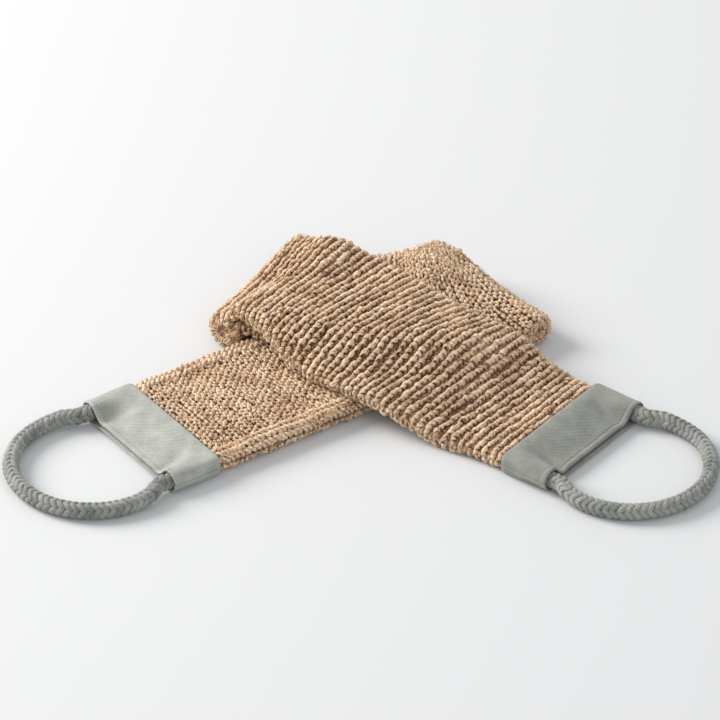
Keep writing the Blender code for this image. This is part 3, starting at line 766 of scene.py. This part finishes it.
CORE_INSET = 2.3 * MM
CORE_STEP = 3 * MM
CUT_RECESS = 1.9 * MM                    # of the core, behind the cut in the middle of a fold
RIDGE_PITCH = 5.1 * MM
RIDGE_SKEW = 0.12                        # of the rows across the middle of the top run
NET_SKEW = -0.2
BEAD = 3.3 * MM                          # one turn of a ridge's yarn
ROLL_END_RADII = (1.9 * MM, 4.3 * MM, 6.6 * MM)
ROLL_END_LEAD = 11 * MM
ROLL_END_LINE = 46.6 * MM
NET_PITCH = 3.1 * MM
WALE = 4.5 * MM
BEAD_POINTS = 9                          # points of yarn to each bead, link and stitch
LINK_POINTS = 7
STITCH_POINTS = 12
RIDGE_YARN = 0.78 * MM                   # radii
LINK_YARN = 0.8 * MM
NET_YARN = 0.86 * MM
EDGE_YARN = 1.1 * MM
SEAM_YARN = 0.72 * MM
FACE_YARN = 0.85 * MM
SEAM_TURN = 3.4 * MM                     # one turn of the yarn along a seam and an edge ridge
EDGE_TURN = 3.9 * MM
TURN_POINTS = 10
SEAM_LINE = 48.6 * MM
EDGE_RIDGE_LINES = (50.2 * MM, 45.8 * MM, 41.6 * MM)
FACE_ROW_RADII = (2.6 * MM, 5.6 * MM, 8.6 * MM, 11.0 * MM)
FACE_ROW_POINTS = 300
FACE_ROW_INSET = 3 * MM
STITCH_CHANGE = 0.42                     # part of the middle run where its stitch changes
MAX_FACES = 90000                        # of one piece
HAIRS_PER_METRE = 28000                  # loose fibres along one face of a run
HAIR_RADIUS = 0.065 * MM
HAIR_POINTS = 5
CORE_COLUMNS = 30


class Run:
    """One run of the strap: its mapping, its length and its cuts in the folds."""

    def __init__(self, name, place, length, cuts):
        self.name = name
        self.place = place
        self.length = length
        self.cuts = cuts                 # (v of the cut, fold, sign of the way out of the run)

    def points(self, v, q, h, side):
        v, q, h = np.broadcast_arrays(v, q, h)
        n, g = section(q, h, side)
        return self.place(v, n, g)


LEFT = Run("left_run", left_run, LEFT_LENGTH, [("end", RIGHT_FOLD, -1)])
MIDDLE = Run("middle_run", middle_run, MIDDLE_FULL,
             [("start", RIGHT_FOLD, 1), ("end", LEFT_FOLD, -1)])
TOP = Run("top_run", top_run, TOP_LENGTH, [("start", LEFT_FOLD, 1)])
# Where a panel is inside a fold's roll, its rows stop short of the roll.
INSIDE_FOLDS = {("left_run", 1): ("end",), ("left_run", -1): (),
                ("middle_run", 1): ("start",), ("middle_run", -1): ("end",),
                ("top_run", 1): (), ("top_run", -1): ("start",)}


def wander(rng, x, size, waves, span):
    """Smooth random curves over x, one for each row."""
    rows = x.shape[0]
    total = np.zeros(x.shape)
    for k in range(1, waves + 1):
        phase = rng.uniform(0, 2 * math.pi, (rows, 1))
        length = span / k * rng.uniform(0.8, 1.25, (rows, 1))
        total += np.sin(2 * math.pi * x / length + phase) * rng.uniform(0.3, 1, (rows, 1)) / k
    return total * size


def beads(rng, turns, size):
    """A random number for each bead, blended along the row."""
    rows = turns.shape[0]
    values = rng.normal(0, size, (rows, int(turns.max()) + 3))
    whole = np.floor(turns).astype(int)
    part = smooth(turns - whole)
    pick = np.take_along_axis
    return pick(values, whole, 1) * (1 - part) + pick(values, whole + 1, 1) * part


def row_skew(run, v, q):
    """The rows of the top and left runs lean, except near their ends."""
    if run is MIDDLE:
        return 0.0
    start = QUARTER if run is TOP else 0.0
    full = smooth((v - start) / (70 * MM)) * smooth((run.length - v) / (60 * MM))
    return (RIDGE_SKEW if run is TOP else NET_SKEW) * full * q


def ridge_rows(run, side, stations, rng):
    """Coarse ridges: each row is a yarn that coils round the row's own line."""
    count = round(2 * HALF_GIRTH / BEAD * BEAD_POINTS)
    q = np.broadcast_to(np.linspace(-HALF_GIRTH, HALF_GIRTH, count), (len(stations), count))
    shift = rng.uniform(0, 1, (len(stations), 1))
    turns = (q + HALF_GIRTH) / BEAD + shift
    angle = 2 * math.pi * (turns + wander(rng, q, 0.10, 3, 30 * MM))
    swell = 1 + beads(rng, turns, 0.2)
    line = np.asarray(stations)[:, None] + wander(rng, q, 0.45 * MM, 3, 70 * MM)
    line = line + row_skew(run, line, q)
    v = line + 1.15 * MM * np.sin(angle) * swell + beads(rng, 2 * turns, 0.38 * MM)
    lift = wander(rng, q, 0.18 * MM, 2, 40 * MM) + beads(rng, 2 * turns, 0.34 * MM)
    h = -1.35 * MM + 1.05 * MM * np.cos(angle) * swell + lift
    along = q + 0.75 * MM * np.sin(angle + 0.9) + beads(rng, turns + 0.5, 0.3 * MM)
    along = np.clip(along, -HALF_GIRTH, HALF_GIRTH)
    # painted shade: the ridge yarn darkens where it coils down towards the core
    depth = 0.40 * smooth((-0.5 * MM - h) / (2.0 * MM))
    radius = RIDGE_YARN * (1 + 0.36 * np.sin(2 * angle + 0.6) + beads(rng, turns, 0.16))
    strands = []
    for apart, lean in ((-0.45 * MM, 0.15 * MM), (0.45 * MM, -0.15 * MM)):
        beside = np.clip(along + apart * (1 + beads(rng, turns, 0.3)), -HALF_GIRTH, HALF_GIRTH)
        strands.append(run.points(v + lean, beside, h + beads(rng, turns, 0.14 * MM), side))
    return np.concatenate(strands), np.tile(radius, (2, 1)), np.tile(depth, (2, 1))


def valley_rows(run, side, stations, rng):
    """The thinner yarn that shows between two ridges."""
    count = round(2 * HALF_GIRTH / BEAD * LINK_POINTS)
    q = np.broadcast_to(np.linspace(-HALF_GIRTH, HALF_GIRTH, count), (len(stations), count))
    turns = (q + HALF_GIRTH) / BEAD + rng.uniform(0, 1, (len(stations), 1))
    angle = 2 * math.pi * turns
    v = np.asarray(stations)[:, None] + 1.5 * MM * np.sin(angle) * (1 + beads(rng, turns, 0.2))
    v = v + row_skew(run, v, q)
    h = -2.75 * MM + 0.55 * MM * np.cos(2 * angle + 1) + beads(rng, turns, 0.2 * MM)
    along = np.clip(q, -HALF_GIRTH, HALF_GIRTH)
    # painted shade: the valley yarn between two ridges is darkened all along
    depth = np.full(h.shape, 0.3)
    return run.points(v, along, h, side), LINK_YARN * np.ones(h.shape), depth


def net_rows(run, side, stations, rng):
    """The finer net: wavy rows whose loops reach over the next row, every other one shifted."""
    count = round(2 * HALF_GIRTH / WALE * STITCH_POINTS)
    q = np.broadcast_to(np.linspace(-HALF_GIRTH, HALF_GIRTH, count), (len(stations), count))
    shift = (np.arange(len(stations)) % 2)[:, None] * 0.5
    turns = (q + HALF_GIRTH) / WALE + shift
    t = 2 * math.pi * (turns + wander(rng, q, 0.07, 3, 40 * MM))
    swell = 1 + beads(rng, turns, 0.16)
    along = q + 0.16 * WALE * np.sin(2 * t) + beads(rng, turns * 2, 0.36 * MM)
    line = np.asarray(stations)[:, None] + wander(rng, q, 0.3 * MM, 3, 60 * MM)
    line = line + row_skew(run, line, q)
    v = line - 0.68 * MM * np.cos(t) * swell + beads(rng, turns * 2, 0.34 * MM)
    lift = wander(rng, q, 0.2 * MM, 2, 45 * MM) + beads(rng, turns * 2, 0.34 * MM)
    h = -1.3 * MM + 0.8 * MM * np.cos(2 * t + 0.5) * swell + lift
    along = np.clip(along, -HALF_GIRTH, HALF_GIRTH)
    # painted shade: the net yarn darkens where it dips low
    depth = 0.42 * smooth((-1.0 * MM - h) / (1.6 * MM))
    radius = NET_YARN * (1 + 0.26 * np.cos(2 * t + 0.5) + beads(rng, turns, 0.14))
    return run.points(v, along, h, side), radius, depth


def fuzz(run, side, rng, material):
    """Loose fibres that stand out of the knit, each a short curved hair."""
    zones = knit_zones(run, side)
    start, end = max(zones[0][1], 1 * MM), min(zones[-1][2], run.length - 1 * MM)
    count = round(HAIRS_PER_METRE * (end - start))
    part = np.linspace(0, 1, HAIR_POINTS)[None]
    root_v = rng.uniform(start, end, (count, 1))
    root_q = rng.uniform(-HALF_GIRTH, HALF_GIRTH, (count, 1))
    heading = rng.uniform(0, 2 * math.pi, (count, 1)) + part * rng.normal(0, 1.1, (count, 1))
    reach = rng.uniform(1.5, 4.2, (count, 1)) * MM
    v = np.clip(root_v + reach * part * np.cos(heading), start, end)
    q = np.clip(root_q + reach * part * np.sin(heading), -HALF_GIRTH, HALF_GIRTH)
    rise = rng.uniform(0.5, 1.9, (count, 1)) * MM
    h = -0.9 * MM + rng.uniform(-0.8, 0.6, (count, 1)) * MM + rise * np.sin(part * 2.2)
    label = "front" if side > 0 else "back"
    taper = HAIR_RADIUS * (1.15 - 0.8 * part) * np.ones((count, 1))
    # a negative painted shade (-0.12): the loose fibres come out a little lighter than the yarn's
    # tops
    piece = tubes(f"{label}_loose_fibres_{run.name}", run.points(v, q, h, side), taper, 3,
                  depth=-0.12, tones=rng.uniform(-1, 1, count))
    piece.data.materials.append(material)
    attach(piece, run.name)
    return piece


def even_rows(start, end, pitch):
    """Middles of rows that fill the stretch with about that pitch."""
    count = max(1, round((end - start) / pitch))
    return start + (np.arange(count) + 0.5) * (end - start) / count


def knit_zones(run, side):
    """(kind, start, end) of each stitch zone of a panel, leaving out what a fold hides."""
    start, end = 0.0, run.length
    if run is LEFT:
        start = -TUCK / 2
    if run is TOP:
        end += TUCK / 2
    inside = INSIDE_FOLDS[(run.name, side)]
    if "start" in inside:
        start += QUARTER
    if "end" in inside:
        end -= QUARTER
    if run is LEFT:
        return [("net", start, end)]
    if run is TOP:
        return [("ridge", start, end)]
    change = QUARTER + MIDDLE_LENGTH * STITCH_CHANGE
    return [("net", start, change), ("ridge", change, end)]


def knit_panel(run, side, rng, material):
    """All rows of one panel of one run, as pieces of a limited size."""
    label = "front" if side > 0 else "back"
    made = []
    for kind, start, end in knit_zones(run, side):
        if kind == "net":
            layers = [("net", net_rows, even_rows(start, end, NET_PITCH), 5)]
        else:
            ridges = even_rows(start, end, RIDGE_PITCH)
            layers = [("ridge", ridge_rows, ridges, 6),
                      ("link", valley_rows, (ridges[1:] + ridges[:-1]) / 2, 5)]
        for title, rows, stations, sides in layers:
            paths, radius, depth = rows(run, side, stations, rng)
            tones = rng.uniform(-1, 1, len(paths))
            per_row = paths.shape[1] * sides
            step = max(1, MAX_FACES // per_row)
            for part, first in enumerate(range(0, len(paths), step)):
                name = f"{label}_{title}_yarn_{run.name}"
                if len(paths) > step:
                    name += f"_{part + 1}"
                span = slice(first, first + step)
                made.append(tubes(name, paths[span], radius[span], sides, depth[span],
                                  tones=tones[span], lumps=rng))
    for piece in made:
        piece.data.materials.append(material)
        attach(piece, run.name)
    return made


def knit_core(run, material):
    """The inner body that the rows lie on, dark with painted shade, with a flat face at each end."""
    q = np.linspace(-HALF_GIRTH, HALF_GIRTH, CORE_COLUMNS)
    start = -TUCK if run is LEFT else 0.0
    end = run.length + (TUCK if run is TOP else 0.0)
    v = np.linspace(start, end, round((end - start) / CORE_STEP))[:, None]
    front = run.points(v, q[None], -CORE_INSET, 1)
    back = run.points(v, q[None, ::-1], -CORE_INSET, -1)
    rings = np.concatenate([front, back], axis=1)
    for where, fold, way in run.cuts:
        near = slice(0, 14) if where == "start" else slice(-14, None)
        level = (ROLL_OUTER + way * CUT_RECESS) * (1 - press_share(rings[near]))
        z = rings[near, :, 2]
        keep = np.maximum(z, level) if way > 0 else np.minimum(z, level)
        beyond = (rings[near] - fold.tangent) @ fold.outward > -0.5 * MM
        rings[near, :, 2] = np.where(beyond, keep, z)
    rows, around = rings.shape[:2]
    index = np.arange(rows * around).reshape(rows, around)
    quads = np.stack([index[:-1], np.roll(index, -1, 1)[:-1], np.roll(index, -1, 1)[1:],
                      index[1:]], -1)
    caps = [index[0, ::-1], index[-1]]
    core = mesh_object(f"knit_body_{run.name}", rings.reshape(-1, 3), quads, caps)
    fix_normals(core)
    core.data.materials.append(material)
    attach(core, run.name)
    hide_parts(f"front_panel_{run.name}", f"back_panel_{run.name}")
    return core


def fix_normals(obj):
    """Faces outward: flips the mesh if its volume is negative."""
    mesh = obj.data
    points = np.empty(len(mesh.vertices) * 3, dtype=np.float32)
    mesh.vertices.foreach_get("co", points)
    points = points.reshape(-1, 3).astype(float)
    volume = 0.0
    for polygon in mesh.polygons:
        corners = points[list(polygon.vertices)]
        for a, b in zip(corners[1:], corners[2:]):
            volume += np.dot(corners[0], np.cross(a, b))
    if volume < 0:
        mesh.flip_normals()


def cut_rows(run, rng, material):
    """Rows of yarn across the flat face in the middle of a fold, shown when the fold opens."""
    made = []
    for where, fold, way in run.cuts:
        half = HALF_WIDTH - FACE_ROW_INSET
        n = np.linspace(-half, half, FACE_ROW_POINTS)
        radii = np.array(FACE_ROW_RADII)[:, None]
        turns = n[None] / BEAD + rng.uniform(0, 1, (len(radii), 1))
        radius = radii + 0.9 * MM * np.sin(2 * math.pi * turns)
        level = way * (1.25 * MM + 0.25 * MM * np.cos(2 * math.pi * turns))
        paths = fold.point(np.broadcast_to(n, radius.shape), radius, math.pi / 2)
        paths[..., 2] += level
        paths = pressed(paths)
        name = f"fold_face_yarn_{run.name}_{where}"
        # a little painted shade (0.1) on the yarn across the fold's cut face
        piece = tubes(name, paths, FACE_YARN, 6, 0.1, tones=rng.uniform(-1, 1, len(radii)))
        piece.data.materials.append(material)
        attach(piece, run.name)
        made.append(piece)
    return made


def roll_ends(run, rng, material):
    """Coarse stitches that close both ends of a fold's roll, on one side of its cut."""
    made = []
    for where, fold, way in run.cuts:
        radii = np.array(ROLL_END_RADII)[:, None]
        straight = np.linspace(-ROLL_END_LEAD, 0, 30)[None]
        bent = np.linspace(0, math.pi / 2, 40)[None, 1:]
        turn = np.concatenate([0 * straight * radii, bent - 0.5 * MM / radii * bent], 1)
        back = np.concatenate([straight, 0 * bent], 1)
        length = back + turn * radii
        paths = []
        for sign in (-1, 1):
            angle = 2 * math.pi * (length / BEAD + rng.uniform(0, 1, (len(radii), 1)))
            n = sign * (ROLL_END_LINE + 0.7 * MM * np.sin(angle))
            radius = radii + 0.5 * MM * np.cos(angle)
            toward = turn if way < 0 else math.pi - turn
            paths.append(fold.point(n, radius, toward) + fold.outward * col(back))
        paths = pressed(swollen(np.concatenate(paths)))
        # painted shade (0.18) on the stitches that close the roll's ends
        piece = tubes(f"roll_end_yarn_{run.name}_{where}", paths, EDGE_YARN, 6, 0.18,
                      tones=rng.uniform(-1, 1, len(paths)), lumps=rng)
        piece.data.materials.append(material)
        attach(piece, run.name)
        made.append(piece)
    return made


def edge_seams(run, rng, material):
    """The coarse thread that oversews the two panels along each edge."""
    made = []
    for label, sign in (("near", -1), ("far", 1)):
        start = 0.5 * MM if run is not LEFT else -2 * MM
        end = run.length - 0.5 * MM if run is not TOP else run.length + 2 * MM
        count = round((end - start) / SEAM_TURN * TURN_POINTS)
        v = np.linspace(start, end, count)[None]
        angle = 2 * math.pi * (v / SEAM_TURN + wander(rng, v, 0.15, 3, 25 * MM))
        reach = SEAM_LINE + 0.7 * MM * np.cos(angle)
        path = run.place(v + 0.8 * MM * np.cos(angle + 0.7), sign * reach,
                         1.5 * MM * np.sin(angle))
        piece = tubes(f"{label}_seam_yarn_{run.name}", path, SEAM_YARN, 6, 0.0)
        piece.data.materials.append(material)
        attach(piece, run.name)
        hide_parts(f"{label}_edge_seam_{run.name}")
        made.append(piece)
    return made


def edge_ridges(rng, material):
    """The lengthwise ridges along the edges of the left run, beside the net."""
    made = []
    for label, sign in (("near", -1), ("far", 1)):
        lines = []
        for q0 in EDGE_RIDGE_LINES:
            end = LEFT.length - 1.6 * MM
            count = round(end / EDGE_TURN * TURN_POINTS)
            v = np.linspace(0.6 * MM, end, count)[None]
            turns = v / EDGE_TURN + rng.uniform(0, 1)
            angle = 2 * math.pi * (turns + wander(rng, v, 0.1, 3, 30 * MM))
            swell = 1 + beads(rng, turns, 0.12)
            q = q0 + wander(rng, v, 0.8 * MM, 3, 60 * MM) + 1.15 * MM * np.sin(angle) * swell
            lift = wander(rng, v, 0.35 * MM, 2, 50 * MM) + beads(rng, 2 * turns, 0.25 * MM)
            h = -0.1 * MM + 0.95 * MM * np.cos(angle) * swell + lift
            along = v + 0.6 * MM * np.sin(angle + 0.9)
            lines.append((LEFT.points(along, sign * q, h, 1), h))
        paths = np.concatenate([line for line, _ in lines])
        # painted shade: the edge ridges darken where they dip low
        depth = 0.3 * smooth((-0.3 * MM - np.concatenate([h for _, h in lines])) / (1.6 * MM))
        piece = tubes(f"{label}_edge_ridges_left_run", paths, EDGE_YARN, 6, depth,
                      tones=rng.uniform(-1, 1, 3), lumps=rng)
        piece.data.materials.append(material)
        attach(piece, "left_run")
        made.append(piece)
    return made


def middle_line_length(run):
    """Length of a run halfway through its thickness, where a fold neither stretches nor packs it."""
    v = np.linspace(0, run.length, 400)
    line = run.place(v, np.zeros_like(v), np.zeros_like(v))
    return float(np.linalg.norm(np.diff(line, axis=0), axis=1).sum())


def make_strap():
    yarn = yarn_material("natural_fibre_yarn", KNIT_STOPS, twist=1.6, fibre=3.2,
                         bump=0.55 * MM, tint=(1, 0.9, 0.78), grain=1.1)
    seam = yarn_material("seam_yarn", LEFT_SEAM_SHADE_STOPS, twist=1.9, fibre=2.5, bump=0.3 * MM,
                         tint=(1, 0.88, 0.75))
    # painted shade: the dark material of the knit's inner body
    depth = knit_base_material()
    rng = np.random.default_rng(7)
    cores = [knit_core(run, depth) for run in (LEFT, MIDDLE, TOP)]
    for run, core in zip((LEFT, MIDDLE, TOP), cores):
        pieces = knit_panel(run, 1, rng, yarn) + knit_panel(run, -1, rng, yarn)
        pieces += cut_rows(run, rng, yarn) + roll_ends(run, rng, yarn)
        # painted shade: only the left run's seams take the darker seam yarn, for the shaded groove
        # along its side wall
        pieces += edge_seams(run, rng, seam if run is LEFT else yarn)
        pieces += [fuzz(run, side, rng, yarn) for side in (1, -1)]
        if run is LEFT:
            pieces += edge_ridges(rng, yarn)
        tucked = TUCK if run is not MIDDLE else 0.0
        round(middle_line_length(run) + tucked, 3)


# ---- caps ----

CAP_ROWS = 72
CAP_HALF_COLUMNS = 90
HEM_WIDTH = 3.2 * MM
HEM_PROUD = 0.55 * MM
SLEEVE_TOP = 44 * MM                     # crest of the cloth over a rope, from the middle
SLEEVE_POINTS = 34
FLANK_POINTS = 5
UPPER_DENT = 2.3 * MM                    # beside each rope
LOWER_LIP = 0.8 * MM                     # of the lower cloth beyond the upper
UPPER_PARTING = 6.35 * MM                # heights of the two edges of the side parting
LOWER_PARTING = 5.95 * MM
RIM = 0.45 * MM
# painted shade: the right cap's cloth is a darker copy of the same cloth, for the shade it lies in
CLOTH_PAINTED_SHADE_SCALES = {"left": 1.0, "right": 0.7}


def cap_half_section(along, dip, dents, phase):
    """(n, z) columns of the outer face of the upper cloth at one distance from the seam."""
    part = along / CAP_LENGTH
    edge = mix(CAP_SEAM_HALF_WIDTH, CAP_EXIT_HALF_WIDTH, part)
    boxy = mix(0.55, 0.95, smooth(part))
    turn = np.linspace(0, math.pi / 2, SLEEVE_POINTS)
    sleeve_n = ROPE_LINE + (edge - ROPE_LINE) * np.sin(turn) ** boxy
    sleeve_z = CAP_HEIGHT / 2 + CAP_HEIGHT / 2 * np.cos(turn) ** boxy
    flat_n = np.linspace(0, ROPE_LINE, CAP_HALF_COLUMNS - SLEEVE_POINTS, endpoint=False)
    n = np.concatenate([flat_n, sleeve_n])
    sag = dip * smooth(part) ** 1.15
    z = np.concatenate([np.full(len(flat_n), CAP_HEIGHT), sleeve_z])
    z = z - sag * (1 - smooth((n - 28.5 * MM) / (14.5 * MM)))
    dent = dents * np.exp(-((n - mix(27, 34.5, part) * MM) / (mix(8, 4.6, part) * MM)) ** 2)
    z = z - dent * smooth((part - 0.12) / 0.5)
    wave = 0.16 * MM * np.sin(n / (9 * MM) + phase) * np.sin(part * 4 + phase)
    return n, z + wave * smooth((SLEEVE_TOP - n) / (10 * MM))


def hem_lift(along, edge_at):
    """The turned hem's roll, with a fine groove on its inner side."""
    back = edge_at - along
    roll = HEM_PROUD * np.sqrt(np.maximum(0, 1 - ((back - HEM_WIDTH / 2) / (HEM_WIDTH / 2)) ** 2))
    groove = -0.42 * MM * np.exp(-((back - HEM_WIDTH - 0.35 * MM) / (0.42 * MM)) ** 2)
    return roll + groove


def make_cap_half(prefix, half, body, origin, outward, side, material):
    """One cloth half of a cap: a closed shell with rounded rims and a turned hem."""
    upper = half == "upper"
    dip, dents = (UPPER_DIP, UPPER_DENT) if upper else (LOWER_DIP, 0.0)
    reach = CAP_LENGTH if upper else CAP_LENGTH + LOWER_LIP
    parting = UPPER_PARTING if upper else LOWER_PARTING
    phase = 0.7 if prefix == "left" else 2.1
    outer, inner, weave = [], [], []
    for along in np.linspace(0, reach, CAP_ROWS):
        n, z = cap_half_section(min(along, CAP_LENGTH), dip, dents, phase)
        if not upper:
            z = CAP_HEIGHT - z
        drop = parting + (0.5 * MM * math.sin(along / (5 * MM) + phase))
        flank_n = np.full(FLANK_POINTS, n[-1])
        flank_z = np.linspace(z[-1], drop, FLANK_POINTS + 1)[1:]
        n, z = np.concatenate([n, flank_n]), np.concatenate([z, flank_z])
        section_line = np.stack([n, z], -1)
        ahead = unit(np.gradient(section_line, axis=0))
        normal = np.stack([-ahead[:, 1], ahead[:, 0]], -1) * (1 if upper else -1)
        fold_in = 1 - smooth(along / (1.6 * MM))
        lift = hem_lift(along, reach) - HEM_PROUD * fold_in
        lift = lift * (1 - 0.6 * smooth((n - 40 * MM) / (8 * MM)) * (along > reach / 2))
        if not upper:
            lift = np.minimum(lift, 0)
        face = section_line + normal * lift[:, None]
        back = section_line - normal * CLOTH
        rows = []
        for line in (face, back):
            full = np.concatenate([line[::-1] * (-1, 1), line[1:]])
            z_full = np.maximum(full[:, 1], FLOOR_GAP)
            rows.append(origin + outward * along + side * full[:, :1] + UP * col(z_full))
        outer.append(rows[0])
        inner.append(rows[1])
        run_length = np.concatenate(([0], np.cumsum(np.linalg.norm(np.diff(face, axis=0), axis=1))))
        across = np.concatenate([-run_length[::-1], run_length[1:]])
        weave.append(np.stack([np.full(len(across), along), across, np.zeros(len(across))], -1))
    outer, inner, weave = np.array(outer), np.array(inner), np.array(weave) / MM
    first = (outer[0] + inner[0]) / 2 - outward * RIM
    last = (outer[-1] + inner[-1]) / 2 + outward * RIM
    shell = np.concatenate([first[None], outer, last[None], inner[::-1]])
    weave = np.concatenate([weave[:1] - (0.5, 0, 0), weave, weave[-1:] + (0.5, 0, 0),
                            weave[::-1]])
    rows, columns = shell.shape[:2]
    index = np.arange(rows * columns).reshape(rows, columns)
    around = np.roll(index, -1, axis=0)
    quads = np.stack([index[:, :-1], around[:, :-1], around[:, 1:], index[:, 1:]], -1)
    name = f"{prefix}_cap_cloth_{half}"
    halfway = CAP_ROWS + 2
    sides = []
    for column, flip in ((0, False), (-1, True)):
        for i in range(1, CAP_ROWS):
            a, b = index[i, column], index[i + 1, column]
            c, d = index[2 * CAP_ROWS + 1 - i, column], index[2 * CAP_ROWS + 2 - i, column]
            sides.append((a, b, c, d) if flip else (d, c, b, a))
        ends = [(index[0, column], index[1, column], index[-1, column]),
                (index[CAP_ROWS, column], index[CAP_ROWS + 1, column], index[halfway, column])]
        sides += [end if flip else end[::-1] for end in ends]
    cap = mesh_object(name, shell.reshape(-1, 3), quads, sides,
                      {"weave": ("FLOAT_VECTOR", weave)})
    fix_normals(cap)
    cap.data.materials.append(material)
    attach(cap, body)
    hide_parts(f"{prefix}_cap_{half}")


def finish_cad_nodes():
    """Materials for the CAD pieces that stay: threads, whippings and rope cores."""
    thread = thread_material("sewing_thread", (0.20, 0.23, 0.20), (0.33, 0.37, 0.33))
    core = thread_material("rope_core_fibre", (0.55, 0.54, 0.49), (0.74, 0.73, 0.68))
    for name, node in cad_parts.items():
        if "stitch" in name or "whipping" in name:
            node.data.materials.clear()
            node.data.materials.append(thread)
        elif "rope_core" in name:
            node.data.materials.clear()
            node.data.materials.append(core)


def main():
    make_camera()
    ends = (("left", "left_run", LEFT_CAP_ORIGIN, -LEFT_DIR, LEFT_SIDE),
            ("right", "top_run", RIGHT_CAP_ORIGIN, TOP_DIR, TOP_SIDE))
    rope = yarn_material("sage_cotton_rope", ROPE_STOPS, twist=0.35, fibre=5.0,
                         bump=0.5 * MM, tint=(0.92, 1, 0.95))
    for prefix, body, origin, outward, side in ends:
        make_rope(prefix, origin, outward, side, rope)
    make_strap()
    for prefix, body, origin, outward, side in ends:
        # each cap gets its own copy of the cloth, the right one darkened as painted shade
        cloth = cloth_material(f"sage_twill_{prefix}", CLOTH_PAINTED_SHADE_SCALES[prefix])
        for half in ("upper", "lower"):
            make_cap_half(prefix, half, body, origin, outward, side, cloth)
    finish_cad_nodes()
    make_stage()
    make_lights()


main()
